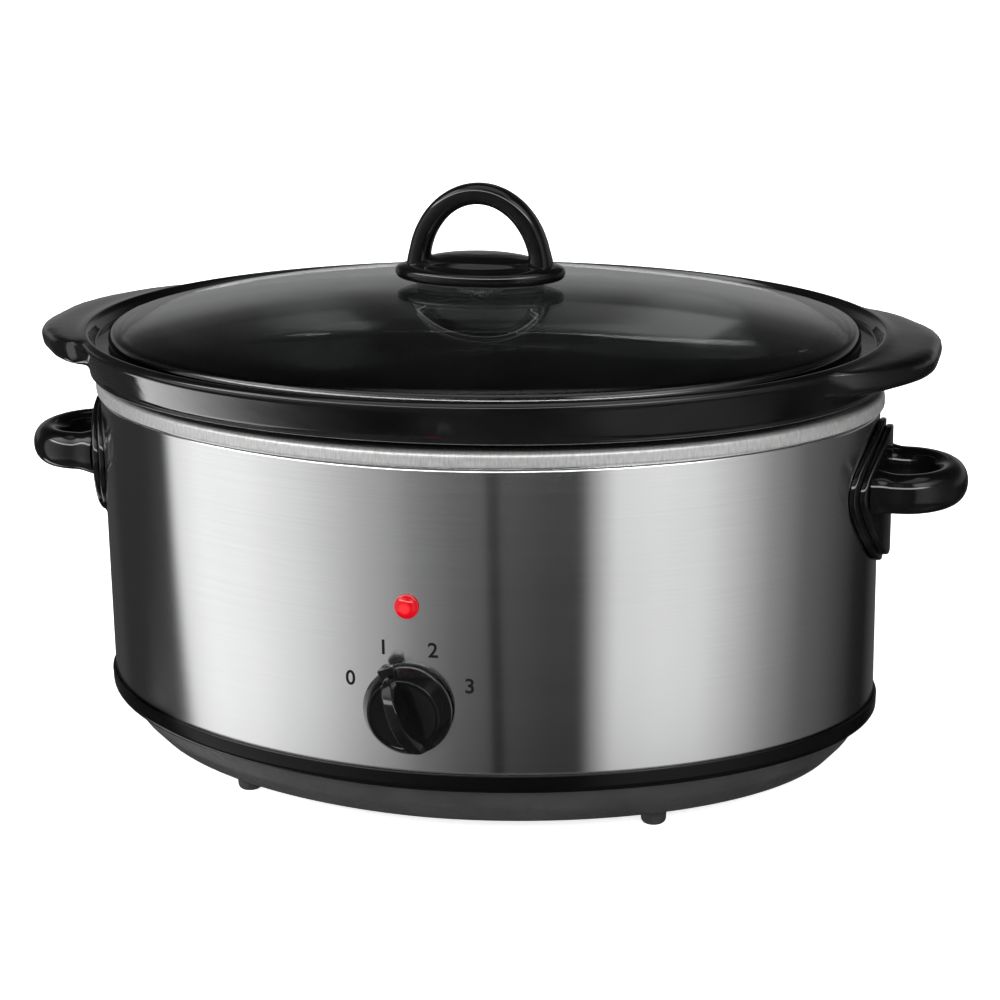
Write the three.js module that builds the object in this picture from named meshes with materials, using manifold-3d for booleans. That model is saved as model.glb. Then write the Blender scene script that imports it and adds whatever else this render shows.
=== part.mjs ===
// Oval slow cooker: a brushed steel heating base, a loose glazed stoneware crock and a glass lid.
// Millimetres, +Z up. The origin is on the surface it stands on, under the middle of the body.
// The control knob faces -Y and the two side handles point along +X and -X.

import * as THREE from 'three';
import { mergeVertices } from 'three/addons/utils/BufferGeometryUtils.js';
import Module from 'manifold-3d';

const wasm = await Module();
wasm.setup();

// ---- driving dimensions ----

const GAP = 0.3;                 // clearance between pieces that touch

const BODY = { a: 170, b: 123, n: 1.88 };      // half length, half depth and roundness of the steel wrap
const RIM = { a: 174.5, b: 143, n: 2.0 };      // outer edge of the crock's collar
const LID = { a: 161, b: 131, n: 2.06 };       // edge of the glass
const SEGMENTS = 40;

const FOOT_HEIGHT = 8;
const WRAP_BOTTOM = 35.2;
const WRAP_WALL = 1;
const WRAP_TOP = 167.4;
const BAND_BOTTOM = 162.8;
const BAND_TOP = 169.2;
const COLLAR_BOTTOM = 173.2;
const COLLAR_TOP = 192.7;
const LID_SEAT = 187.2;
const GLASS_THICKNESS = 4;
const GLASS_EDGE_TOP = 192.5;
const GLASS_CROWN = 210;

const LUG_REACH = 193.6;
const LUG_TOP = 191.2;
const LUG_BOTTOM = 181.2;

const ARCH_HALF_WIDTH = 31.2;
const ARCH_TOP = 253;
const ARCH_FOOT = 216;
const ARCH_RADIAL = 9;
const ARCH_DEPTH = 11;

const HANDLE_Z = 133;
const HANDLE_REACH = 207.3;
const HANDLE_HALF_WIDTH = 29;
const GRIP_WIDTH = 13.5;
const GRIP_HEIGHT = 16.5;

const KNOB_Z = 63.3;
const KNOB_RADIUS = 18.2;
const KNOB_BACK = 124;           // distance of the knob's back face from the middle of the body
const KNOB_FRONT = 143;
const KNOB_TURN_AT_REST = 22.5;  // degrees anticlockwise from straight up, seen from the front
const LAMP_Z = 105.7;
const SHAFT_RADIUS = 3;

const GLAND_Z = 52;
const STUD_RADIUS = 3;
const FOOT_X = 88;
const FOOT_Y = 68.5;

// ---- finishes ----

const finish = (color, roughness, metalness, opacity = 1) =>
  new THREE.MeshStandardMaterial({ color, roughness, metalness, opacity, transparent: opacity < 1 });

const BRUSHED_STEEL = finish(0xb9babb, 0.3, 1);
const SPECKLED_SILVER = finish(0xbcbcba, 0.5, 0.7);
const ALUMINISED_STEEL = finish(0x9a9c9d, 0.45, 0.9);
const PLATED_STEEL = finish(0xa8a9aa, 0.35, 1);
const BLACK_GLAZE = finish(0x0b0b0c, 0.06, 0);
const CLEAR_GLASS = finish(0x9fa6a6, 0.03, 0, 0.35);
const GLOSS_BLACK = finish(0x0d0d0e, 0.12, 0);
const SATIN_BLACK = finish(0x1a1a1b, 0.45, 0);
const BLACK_RUBBER = finish(0x161616, 0.85, 0);
const CLEAR_SILICONE = finish(0xcfd0cc, 0.5, 0);
const RED_LENS = finish(0xe8141c, 0.15, 0);
const WHITE_CERAMIC = finish(0xe4e1d8, 0.6, 0);
const GLASS_FIBRE = finish(0xd9d4c4, 0.95, 0);
const MICA_TAPE = finish(0xb08a4e, 0.7, 0);
const WIRE_SLEEVE = finish(0xcfc9b8, 0.75, 0);

// ---- geometry helpers ----

// One oval ring. Exponent n is 2 for an ellipse.
function ovalRing({ a, b, n, z }, segments) {
  const ring = [];
  for (let i = 0; i < segments; i += 1) {
    const angle = (2 * Math.PI * i) / segments;
    const c = Math.cos(angle);
    const s = Math.sin(angle);
    ring.push(new THREE.Vector3(
      a * Math.sign(c) * Math.abs(c) ** (2 / n),
      b * Math.sign(s) * Math.abs(s) ** (2 / n),
      z,
    ));
  }
  return ring;
}

// Closed solid through oval rings, listed so that the material lies on the left of the section,
// which is drawn with the distance from the middle to the right and height upwards.
// With closed set, the last ring joins the first; otherwise both ends are capped by a point on the axis.
function loft(rings, closed, segments = SEGMENTS) {
  const positions = [];
  const indices = [];
  rings.forEach((ring) => ovalRing(ring, segments).forEach((p) => positions.push(p.x, p.y, p.z)));
  const joins = closed ? rings.length : rings.length - 1;
  for (let r = 0; r < joins; r += 1) {
    const lower = r * segments;
    const upper = ((r + 1) % rings.length) * segments;
    for (let i = 0; i < segments; i += 1) {
      const j = (i + 1) % segments;
      indices.push(lower + i, lower + j, upper + j, lower + i, upper + j, upper + i);
    }
  }
  if (!closed) {
    const start = positions.length / 3;
    const last = (rings.length - 1) * segments;
    positions.push(0, 0, rings[0].z, 0, 0, rings[rings.length - 1].z);
    for (let i = 0; i < segments; i += 1) {
      const j = (i + 1) % segments;
      indices.push(start, j, i, start + 1, last + i, last + j);
    }
  }
  const geometry = new THREE.BufferGeometry();
  geometry.setAttribute('position', new THREE.Float32BufferAttribute(positions, 3));
  geometry.setIndex(indices);
  return geometry;
}

// Rings that follow an oval at given distances outside it: [[distance, height], ...].
const follow = (oval, section) =>
  section.map(([distance, z]) => ({ a: oval.a + distance, b: oval.b + distance, n: oval.n, z }));

// Rings scaled from an oval: [[fraction, height], ...].
const scaled = (oval, section) =>
  section.map(([fraction, z]) => ({ a: oval.a * fraction, b: oval.b * fraction, n: oval.n, z }));

function toManifold(geometry) {
  const bare = geometry.clone();
  Object.keys(bare.attributes).filter((name) => name !== 'position')
    .forEach((name) => bare.deleteAttribute(name));
  const merged = mergeVertices(bare, 1e-4);
  return new wasm.Manifold(new wasm.Mesh({
    numProp: 3,
    vertProperties: new Float32Array(merged.attributes.position.array),
    triVerts: new Uint32Array(merged.index.array),
  }));
}

function fromManifold(solid) {
  const mesh = solid.getMesh();
  const geometry = new THREE.BufferGeometry();
  geometry.setAttribute('position', new THREE.BufferAttribute(mesh.vertProperties, 3));
  geometry.setIndex(new THREE.BufferAttribute(mesh.triVerts, 1));
  return geometry;
}

const join = (first, ...others) =>
  fromManifold(others.reduce((solid, next) => solid.add(toManifold(next)), toManifold(first)));

const cut = (first, ...tools) =>
  fromManifold(tools.reduce((solid, tool) => solid.subtract(toManifold(tool)), toManifold(first)));

// Solid of revolution about +Z from [[radius, height], ...], which starts and ends on the axis or closes.
const turned = (section, sides = 12) =>
  new THREE.LatheGeometry(section.map(([r, z]) => new THREE.Vector2(r, z)), sides).rotateX(Math.PI / 2);

// Section of a plain ring or tube, for turned().
const tubeSection = (inner, outer, low, high) =>
  [[inner, low], [outer, low], [outer, high], [inner, high], [inner, low]];

const rodSection = (radius, low, high) => [[0, low], [radius, low], [radius, high], [0, high]];

// Points +Z of a shape along -Y, so that heights become distances in front of the middle of the body.
const towardsFront = (geometry) => geometry.rotateX(Math.PI / 2);

// Points +Z of a shape along +Y, for pieces on the back.
const towardsBack = (geometry) => geometry.rotateX(-Math.PI / 2);

// Points +Z of a shape along +X or -X.
const towardsSide = (geometry, side) => geometry.rotateY((side * Math.PI) / 2);

const box = (sx, sy, sz, x, y, z) => new THREE.BoxGeometry(sx, sy, sz).translate(x, y, z);

function ovalShape(halfWidth, halfHeight, sides) {
  const shape = new THREE.Shape();
  for (let i = 0; i < sides; i += 1) {
    const angle = (2 * Math.PI * i) / sides;
    const place = [halfWidth * Math.cos(angle), halfHeight * Math.sin(angle)];
    if (i === 0) shape.moveTo(...place);
    else shape.lineTo(...place);
  }
  shape.closePath();
  return shape;
}

const sweep = (shape, path, steps) =>
  new THREE.ExtrudeGeometry(shape, { steps, extrudePath: path, bevelEnabled: false });

// Distance of the steel wrap's outer face from the middle, along X, at a place across the body.
const wrapReach = (y) => BODY.a * (1 - (Math.abs(y) / BODY.b) ** BODY.n) ** (1 / BODY.n);

function named(name, geometry, material) {
  const mesh = new THREE.Mesh(geometry, material);
  mesh.name = name;
  return mesh;
}

// ---- heating base ----

const SWITCH_BUSH_RADIUS = 4.6;
const SWITCH_HOLE_RADIUS = 5;
const LAMP_HOLE_RADIUS = 4;
const GLAND_RADIUS = 6.7;
const HANDLE_SCREW_HEIGHTS = [106, 150];
const HANDLE_SCREW_RADIUS = 2;
const HANDLE_HOLE_RADIUS = 2.5;
const HOLE_CUTTER_REACH = 8;      // how far a cutter stands out on each side of the wrap

function steelWrap() {
  const shell = loft(follow(BODY, [
    [0, WRAP_BOTTOM],
    [0, WRAP_TOP],
    [-WRAP_WALL, WRAP_TOP],
    [-WRAP_WALL, WRAP_BOTTOM],
  ]), true);
  const through = (radius, low, high) => turned(rodSection(radius, low, high), 14);
  const front = [BODY.b - HOLE_CUTTER_REACH, BODY.b + HOLE_CUTTER_REACH];
  const holes = [
    towardsFront(through(SWITCH_HOLE_RADIUS, ...front)).translate(0, 0, KNOB_Z),
    towardsFront(through(LAMP_HOLE_RADIUS, ...front)).translate(0, 0, LAMP_Z),
    towardsBack(through(GLAND_RADIUS + GAP, ...front)).translate(0, 0, GLAND_Z),
  ];
  for (const side of [-1, 1]) {
    for (const z of HANDLE_SCREW_HEIGHTS) {
      const hole = through(HANDLE_HOLE_RADIUS, BODY.a - HOLE_CUTTER_REACH, BODY.a + HOLE_CUTTER_REACH);
      holes.push(towardsSide(hole, side).translate(0, 0, z));
    }
  }
  return cut(shell, ...holes);
}

// Trim ring that clamps the bowl's flange to the top edge of the wrap.
function rimBand() {
  return loft(follow(BODY, [
    [0.4, BAND_BOTTOM],
    [1.7, BAND_BOTTOM + 0.8],
    [1.7, BAND_TOP - 1.2],
    [0.5, BAND_TOP],
    [-9.2, BAND_TOP],
    [-9.2, BAND_TOP - 1.2],
    [0.4, BAND_TOP - 1.2],
  ]), true);
}

// Outer face of the heating bowl below its flange, as distance from the wrap and height.
const BOWL_OUTSIDE = [[-44, 43.5], [-30, 50], [-22, 64], [-18, 84], [-9.5, 166.1]];
const BOWL_WALL = 1.2;

// Distance of the bowl's outer face from the wrap at a height, between the points of the section.
function bowlOutside(z) {
  const above = BOWL_OUTSIDE.findIndex(([, height]) => height >= z);
  const [d0, z0] = BOWL_OUTSIDE[above - 1];
  const [d1, z1] = BOWL_OUTSIDE[above];
  return d0 + ((d1 - d0) * (z - z0)) / (z1 - z0);
}

function heatingBowl() {
  const inside = BOWL_OUTSIDE.map(([d, z]) => [d - BOWL_WALL, z + 0.4]).reverse();
  inside[inside.length - 1] = [BOWL_OUTSIDE[0][0] - 1, BOWL_OUTSIDE[0][1] + BOWL_WALL];
  const flangeTop = BAND_TOP - 1.2 - GAP;
  inside[0] = [BOWL_OUTSIDE.at(-1)[0] - BOWL_WALL, flangeTop];
  const flange = [[-1.5, BOWL_OUTSIDE.at(-1)[1]], [-1.5, flangeTop]];
  return loft(follow(BODY, [...BOWL_OUTSIDE, ...flange, ...inside]), false);
}

// A layer wrapped around the bowl between two heights, from one distance off it to another.
function bowlLayer(low, high, near, far) {
  const heights = [low, high];
  const outside = heights.map((z) => [bowlOutside(z) + far, z]);
  const inside = heights.map((z) => [bowlOutside(z) + near, z]).reverse();
  return loft(follow(BODY, [...outside, ...inside]), true);
}

const heaterBand = () => bowlLayer(84, 136, GAP + 0.1, 2.4);
const insulationBlanket = () => bowlLayer(84, 140, 2.8, 5.6);

const SHIELD_INSET = -24;
const SHIELD_Z = 27;

const heatShield = () => cut(
  loft(follow(BODY, [[SHIELD_INSET, SHIELD_Z], [SHIELD_INSET, SHIELD_Z + 1]]), false),
  turned(rodSection(STUD_RADIUS + 2, SHIELD_Z - 7, SHIELD_Z + 8)),
);

const PAN_FLOOR = 3.5;

function basePan() {
  const ledge = WRAP_BOTTOM - GAP;
  const pan = loft(follow(BODY, [
    [-19, FOOT_HEIGHT],
    [-15.8, FOOT_HEIGHT + 1.6],
    [-8.2, FOOT_HEIGHT + 10.3],
    [-3.9, FOOT_HEIGHT + 20.2],
    [0.2, FOOT_HEIGHT + 20.8],
    [1.3, FOOT_HEIGHT + 22.5],
    [1.5, WRAP_BOTTOM + 1.2],
    [GAP, WRAP_BOTTOM + 1.2],
    [GAP, ledge],
    [-4.5, ledge],
    [-6.5, FOOT_HEIGHT + 21],
    [-13.5, FOOT_HEIGHT + 11],
    [-23.5, FOOT_HEIGHT + PAN_FLOOR],
  ]), false);
  const holes = [turned(rodSection(STUD_RADIUS + 0.5, 0, 20))];
  for (const x of [-FOOT_X, FOOT_X]) {
    for (const y of [-FOOT_Y, FOOT_Y]) {
      holes.push(turned(rodSection(3.2, 0, 20), 10).translate(x, y, 0));
    }
  }
  return cut(pan, ...holes);
}

// Rubber foot pushed into the floor of the pan by its stem.
function foot() {
  return turned([
    [0, 0],
    [4.6, 0],
    [5.4, 0.8],
    [5.5, FOOT_HEIGHT - GAP],
    [2.8, FOOT_HEIGHT - GAP],
    [2.8, FOOT_HEIGHT + PAN_FLOOR + 2],
    [0, FOOT_HEIGHT + PAN_FLOOR + 2.8],
  ], 10);
}

// Welded stud under the bowl, which pulls the base pan up against the wrap.
function centreStud() {
  const top = BOWL_OUTSIDE[0][1] - GAP;
  return turned([[0, 2.2], [STUD_RADIUS, 2.2], [STUD_RADIUS, top - 1.5], [8, top - 1.5], [8, top], [0, top]]);
}

const centreWasher = () => turned(tubeSection(STUD_RADIUS + GAP, 9, 6.4, FOOT_HEIGHT - GAP));

const hexNut = (bore, outer, low, high) =>
  cut(turned(rodSection(outer, low, high), 6), turned(rodSection(bore, low - 5, high + 5), 12));

// ---- side handles ----

// Shield-shaped plate that follows the end of the wrap, between two distances off the steel.
function shieldPlate(near, far, inset) {
  const halfWidth = 34.5 - inset;
  const flat = 10;
  const columns = 10;
  const positions = [];
  const indices = [];
  for (let i = 0; i <= columns; i += 1) {
    const y = halfWidth * (-1 + (2 * i) / columns);
    const slope = Math.max(0, Math.abs(y) - flat) / (34.5 - flat);
    const low = 98 + inset + 26 * slope ** 1.3;
    const high = 158.5 - inset - 17 * slope ** 1.3;
    const x = wrapReach(y);
    positions.push(x + near, y, low, x + near, y, high, x + far, y, low, x + far, y, high);
  }
  for (let i = 0; i < columns; i += 1) {
    const p = 4 * i;
    const q = p + 4;
    const faces = [[p, p + 1, q + 1, q], [p + 2, q + 2, q + 3, p + 3], [p, q, q + 2, p + 2],
      [p + 1, p + 3, q + 3, q + 1]];
    faces.forEach(([a, b, c, d]) => indices.push(a, b, c, a, c, d));
  }
  const end = 4 * columns;
  indices.push(0, 2, 3, 0, 3, 1, end, end + 1, end + 3, end, end + 3, end + 2);
  const geometry = new THREE.BufferGeometry();
  geometry.setAttribute('position', new THREE.Float32BufferAttribute(positions, 3));
  geometry.setIndex(indices);
  return geometry;
}

// Horizontal D-shaped grip, drawn on the +X end.
function gripLoop() {
  const half = HANDLE_HALF_WIDTH - GRIP_WIDTH / 2;
  const bend = 181;
  const reach = HANDLE_REACH - GRIP_WIDTH / 2 - bend;
  const path = new THREE.CurvePath();
  const root = wrapReach(half) + 4.5;
  path.add(new THREE.LineCurve3(new THREE.Vector3(root, -half, 0), new THREE.Vector3(bend, -half, 0)));
  const arc = [];
  for (let i = 0; i <= 12; i += 1) {
    const angle = (Math.PI * i) / 12;
    arc.push(new THREE.Vector3(bend + reach * Math.sin(angle), -half * Math.cos(angle), 0));
  }
  path.add(new THREE.CatmullRomCurve3(arc));
  path.add(new THREE.LineCurve3(new THREE.Vector3(bend, half, 0), new THREE.Vector3(root, half, 0)));
  return sweep(ovalShape(GRIP_HEIGHT / 2, GRIP_WIDTH / 2, 10), path, 20).translate(0, 0, HANDLE_Z);
}

function handleScrewBores() {
  return HANDLE_SCREW_HEIGHTS.map((z) => (
    towardsSide(turned(rodSection(HANDLE_HOLE_RADIUS, 160, 174.4), 10), 1).translate(0, 0, z)
  ));
}

const sideHandle = () => cut(join(shieldPlate(2.9, 5.6, 2.6), gripLoop()), ...handleScrewBores());
const handleSpacer = () => cut(shieldPlate(GAP, 2.6, 0), ...handleScrewBores());

const BRACKET = { thickness: 1.4, width: 12, overhang: 7, x: 167.5 };

// Steel strap behind the wrap that spreads the load of a handle's two screws.
function handleBracket() {
  const [low, high] = HANDLE_SCREW_HEIGHTS;
  const length = high - low + 2 * BRACKET.overhang;
  const strap = box(BRACKET.thickness, BRACKET.width, length, BRACKET.x, 0, (low + high) / 2);
  const bores = HANDLE_SCREW_HEIGHTS.map((z) => (
    towardsSide(turned(rodSection(HANDLE_HOLE_RADIUS, 160, 172), 10), 1).translate(0, 0, z)
  ));
  return cut(strap, ...bores);
}

function handleScrew(z) {
  const section = [[0, 164.2], [3.2, 164.2], [3.8, 165], [3.8, 166.5], [HANDLE_SCREW_RADIUS, 166.5],
    [HANDLE_SCREW_RADIUS, 174], [0, 174]];
  return towardsSide(turned(section, 10), 1).translate(0, 0, z);
}

// ---- controls and wiring ----

// Distances in front of the middle of the body.
const SWITCH = { size: 25, back: 109, front: 121, bushFront: 126.6, boreBack: 110.5 };
const SHAFT = { back: 111, front: 136.5 };

function rotarySwitch() {
  const middle = (SWITCH.back + SWITCH.front) / 2;
  const body = box(SWITCH.size, SWITCH.front - SWITCH.back, SWITCH.size, 0, -middle, KNOB_Z);
  const bush = turned(rodSection(SWITCH_BUSH_RADIUS, SWITCH.front - 3, SWITCH.bushFront), 16);
  const bore = turned(rodSection(SHAFT_RADIUS + GAP, SWITCH.boreBack, SWITCH.bushFront + 3), 12);
  return cut(
    join(body, towardsFront(bush).translate(0, 0, KNOB_Z)),
    towardsFront(bore).translate(0, 0, KNOB_Z),
  );
}

const switchNut = () =>
  towardsFront(hexNut(SWITCH_BUSH_RADIUS + GAP, 7.2, BODY.b + GAP, BODY.b + 2.5)).translate(0, 0, KNOB_Z);

const switchShaft = () =>
  towardsFront(turned(rodSection(SHAFT_RADIUS, SHAFT.back, SHAFT.front), 12)).translate(0, 0, KNOB_Z);

// Knob drawn about +Z with its pointer at +Y, before it is turned to the front.
function controlKnob() {
  const face = KNOB_BACK + 8.5;
  const disc = turned([
    [0, KNOB_BACK + 0.1],
    [KNOB_RADIUS, KNOB_BACK + 0.1],
    [KNOB_RADIUS - 0.3, KNOB_BACK + 2.6],
    [KNOB_RADIUS - 3.2, face - 0.8],
    [KNOB_RADIUS - 4, face],
    [0, face - 0.6],
  ], 30);
  const crest = new THREE.Shape();
  const reach = KNOB_RADIUS - 0.8;
  crest.moveTo(-reach, -6);
  crest.lineTo(reach, -6);
  crest.lineTo(reach, -3.5);
  crest.quadraticCurveTo(reach * 0.66, KNOB_FRONT - face, 0, KNOB_FRONT - face);
  crest.quadraticCurveTo(-reach * 0.66, KNOB_FRONT - face, -reach, -3.5);
  crest.closePath();
  const grip = new THREE.ExtrudeGeometry(crest, {
    depth: 5, bevelEnabled: true, bevelThickness: 1.2, bevelSize: 0.6, bevelOffset: -0.6, bevelSegments: 1,
    curveSegments: 6,
  });
  grip.translate(0, 0, -2.5).rotateX(Math.PI / 2).rotateZ(Math.PI / 2).translate(0, 0, face);
  const pointer = box(6.6, 6, 6.6, 0, KNOB_RADIUS, KNOB_BACK + 3.6);
  const nutRecess = turned(rodSection(8.6, KNOB_BACK - 5, KNOB_BACK + 3.6), 16);
  const shaftBore = turned(rodSection(SHAFT_RADIUS + GAP, KNOB_BACK - 5, KNOB_BACK + 13), 12);
  const knob = cut(join(disc, grip, pointer), nutRecess, shaftBore);
  knob.rotateZ((KNOB_TURN_AT_REST * Math.PI) / 180);
  return towardsFront(knob).translate(0, 0, KNOB_Z);
}

function indicatorLens() {
  const flange = BODY.b + GAP;
  const section = [[0, 117.5], [3.3, 117.5], [3.3, flange], [4.8, flange], [4.5, flange + 1.4],
    [3, flange + 2.6], [0, flange + 3.1]];
  return towardsFront(turned(section, 14)).translate(0, 0, LAMP_Z);
}

const indicatorLamp = () => towardsFront(turned(rodSection(3.4, 114, 117.2))).translate(0, 0, LAMP_Z);

function cordGland() {
  const flange = BODY.b + GAP;
  const section = [[4.4, 117], [GLAND_RADIUS, 117], [GLAND_RADIUS, flange], [10.5, flange],
    [9.6, flange + 3], [6.6, flange + 4.5], [4.4, flange + 4.5], [4.4, 117]];
  return towardsBack(turned(section, 16)).translate(0, 0, GLAND_Z);
}

const FUSE_X = 40;
const FUSE_Z = 39.5;

const thermalFuse = () =>
  towardsSide(turned([[0, -6], [1.2, -6], [2, -5], [2, 5], [1.2, 6], [0, 6]], 12), 1)
    .translate(FUSE_X, 0, FUSE_Z);

// Spring clip that hangs under the bowl and holds the fuse against it.
function fuseClip() {
  const cradle = (radius, turn) => Array.from({ length: 9 }, (_, i) => {
    const angle = Math.PI + (Math.PI * (turn > 0 ? i : 8 - i)) / 8;
    return new THREE.Vector2(radius * Math.cos(angle), radius * Math.sin(angle));
  });
  const outline = new THREE.Shape([
    ...cradle(3.2, 1),
    new THREE.Vector2(3.2, 2.6),
    new THREE.Vector2(7, 2.6),
    new THREE.Vector2(7, 3.4),
    new THREE.Vector2(2.4, 3.4),
    ...cradle(2.4, -1),
    new THREE.Vector2(-2.4, 3.4),
    new THREE.Vector2(-7, 3.4),
    new THREE.Vector2(-7, 2.6),
    new THREE.Vector2(-3.2, 2.6),
  ]);
  return new THREE.ExtrudeGeometry(outline, { depth: 6, bevelEnabled: false })
    .rotateX(Math.PI / 2).rotateZ(Math.PI / 2).translate(FUSE_X - 3, 0, FUSE_Z);
}

const TERMINAL_Y = 62;

function terminalBlock() {
  const block = box(28, 13, 8, 0, TERMINAL_Y, 32.4);
  const bores = [-9, 0, 9].map((x) => turned(rodSection(1.6, -20, 20), 12).rotateX(Math.PI / 2)
    .translate(x, TERMINAL_Y, 31.6));
  return cut(block, ...bores);
}

const WIRE_RADIUS = 1.2;
const WIRE_SIDES = 6;

function wire(...points) {
  const path = new THREE.CatmullRomCurve3(points.map((p) => new THREE.Vector3(...p)));
  return sweep(ovalShape(WIRE_RADIUS, WIRE_RADIUS, WIRE_SIDES), path, 3 * (points.length - 1));
}

const wireToFuse = () => wire([9, 55, 32], [9.2, 49, 32.2], [20, 18, 36], [26, 1, 39], [33, 0, FUSE_Z]);
const wireToSwitch = () => wire(
  [-9, 55, 32], [-9.4, 49, 32.2], [-52, 10, 35], [-54, -50, 35], [-30, -92, 39], [-10, -108, 43],
  [-6, -113, KNOB_Z - 14],
);
const wireToLamp = () => wire([5, -115, KNOB_Z + 12.9], [5, -116, 85], [2, -116.5, 94], [0, -115.6, 101.8]);
const wireToHeater = () => wire(
  [47, 0, FUSE_Z], [54, 1, 39], [96, 24, 37], [124, 40, 44], [137, 48, 60], [135, 48.5, 75],
  [134, 48, 83.2],
);

// ---- crock ----

// Outer face of the pot below its collar: distance from the wrap and height.
const POT_OUTSIDE = [[-52, 48.5], [-36, 53], [-27, 66], [-22, 84], [-13.6, 168]];

const collar = (a, b, z) => ({ a, b, n: RIM.n, z });

function crockLug() {
  const lug = new THREE.Shape();
  lug.moveTo(150, -66);
  lug.lineTo(163, -62);
  lug.quadraticCurveTo(174, -56, 181, -45);
  lug.quadraticCurveTo(LUG_REACH, -28, LUG_REACH, -12);
  lug.lineTo(LUG_REACH, 12);
  lug.quadraticCurveTo(LUG_REACH, 28, 181, 45);
  lug.quadraticCurveTo(174, 56, 163, 62);
  lug.lineTo(150, 66);
  lug.closePath();
  return new THREE.ExtrudeGeometry(lug, {
    depth: LUG_TOP - LUG_BOTTOM - 5, bevelEnabled: true, bevelThickness: 2.5, bevelSize: 2.5,
    bevelOffset: -2.5, bevelSegments: 2, curveSegments: 4,
  }).translate(0, 0, LUG_BOTTOM + 2.5);
}

function crock() {
  const outside = loft([
    ...follow(BODY, POT_OUTSIDE),
    ...follow(BODY, [[-10.2, BAND_TOP + GAP], [-5.5, BAND_TOP + GAP], [-4.5, BAND_TOP + 1.6]]),
    collar(169, 124, COLLAR_BOTTOM - 1),
    collar(171.4, 128.5, COLLAR_BOTTOM),
    collar(RIM.a - 0.3, RIM.b - 1.8, COLLAR_TOP - 4.5),
    collar(RIM.a, RIM.b, COLLAR_TOP - 2.3),
    collar(RIM.a - 1, RIM.b - 1, COLLAR_TOP - 0.7),
    collar(RIM.a - 2.8, RIM.b - 2.8, COLLAR_TOP),
  ], false);
  const left = crockLug().rotateZ(Math.PI);
  const cavity = loft([
    ...follow(BODY, POT_OUTSIDE.slice(0, -1).map(([d, z]) => [d - 7, z + 8])),
    collar(150, 105, 168),
    collar(153.5, 119, LID_SEAT - 3),
    collar(155.5, 121.5, LID_SEAT),
    collar(167, 137, LID_SEAT),
    collar(169, 139, COLLAR_TOP - 1.5),
    collar(170, 140, COLLAR_TOP + 1),
  ], false);
  return cut(join(outside, crockLug(), left), cavity);
}

// ---- lid ----

// Height of the glass's upper face at a fraction of the way from the middle to its edge.
const domeHeight = (fraction) =>
  GLASS_EDGE_TOP + (GLASS_CROWN - GLASS_EDGE_TOP) * (1 - fraction ** 2.2);

function lidGlass() {
  const fractions = [0.06, 0.35, 0.6, 0.8, 0.97];
  const top = fractions.map((f) => [f, domeHeight(f)]).reverse();
  const underside = fractions.map((f) => [f, domeHeight(f) - GLASS_THICKNESS]);
  const dome = loft(scaled(LID, [
    ...underside,
    [0.993, LID_SEAT + GAP],
    [1, LID_SEAT + 1.5],
    [1, GLASS_EDGE_TOP - 1.2],
    [0.993, GLASS_EDGE_TOP],
    ...top,
  ]), false);
  return cut(dome, turned(rodSection(3.2, 190, 220)));
}

const HANDLE_BASE = GLASS_CROWN + 1.8;
const LID_SCREW_RADIUS = 2.4;

function lidHandle() {
  const ring = (a, b, z) => ({ a, b, n: 2, z });
  const base = loft([
    ring(33, 19, HANDLE_BASE),
    ring(35.8, 21.8, HANDLE_BASE + 1),
    ring(37, 23, HANDLE_BASE + 3),
    ring(36.4, 22.4, HANDLE_BASE + 5.2),
    ring(33, 19.5, HANDLE_BASE + 6.4),
    ring(26, 15.5, HANDLE_BASE + 7),
    ring(19, 11, HANDLE_BASE + 9.9),
    ring(8, 4.6, HANDLE_BASE + 11),
  ], false, 24);
  const half = ARCH_HALF_WIDTH - ARCH_RADIAL / 2;
  const rise = ARCH_TOP - ARCH_RADIAL / 2 - ARCH_FOOT;
  const arc = [];
  for (let i = 0; i <= 16; i += 1) {
    const angle = (Math.PI * i) / 16;
    arc.push(new THREE.Vector3(-half * Math.cos(angle), 0, ARCH_FOOT + rise * Math.sin(angle)));
  }
  const arch = sweep(ovalShape(ARCH_DEPTH / 2, ARCH_RADIAL / 2, 10), new THREE.CatmullRomCurve3(arc), 18);
  return cut(join(base, arch), turned(rodSection(LID_SCREW_RADIUS + GAP, 205, HANDLE_BASE + 7.5)));
}

function lidHandleSeal() {
  const ring = (a, b, z) => ({ a, b, n: 2, z });
  const low = GLASS_CROWN + GAP;
  const high = HANDLE_BASE - GAP;
  return cut(
    loft([ring(28, 15, low), ring(28, 15, high)], false, 24),
    turned(rodSection(3.2, 200, 220)),
  );
}

const GLASS_UNDERSIDE = GLASS_CROWN - GLASS_THICKNESS;

const lidScrewWasher = () =>
  turned(tubeSection(LID_SCREW_RADIUS + GAP, 10, GLASS_UNDERSIDE - 1.8, GLASS_UNDERSIDE - GAP - 0.1));

function lidScrew() {
  const seat = GLASS_UNDERSIDE - 2.1;
  return turned([
    [0, seat - 3], [3.6, seat - 3], [4.6, seat - 1.8], [4.6, seat], [LID_SCREW_RADIUS, seat],
    [LID_SCREW_RADIUS, HANDLE_BASE + 7], [0, HANDLE_BASE + 7],
  ]);
}

// ---- assembly ----

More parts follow.
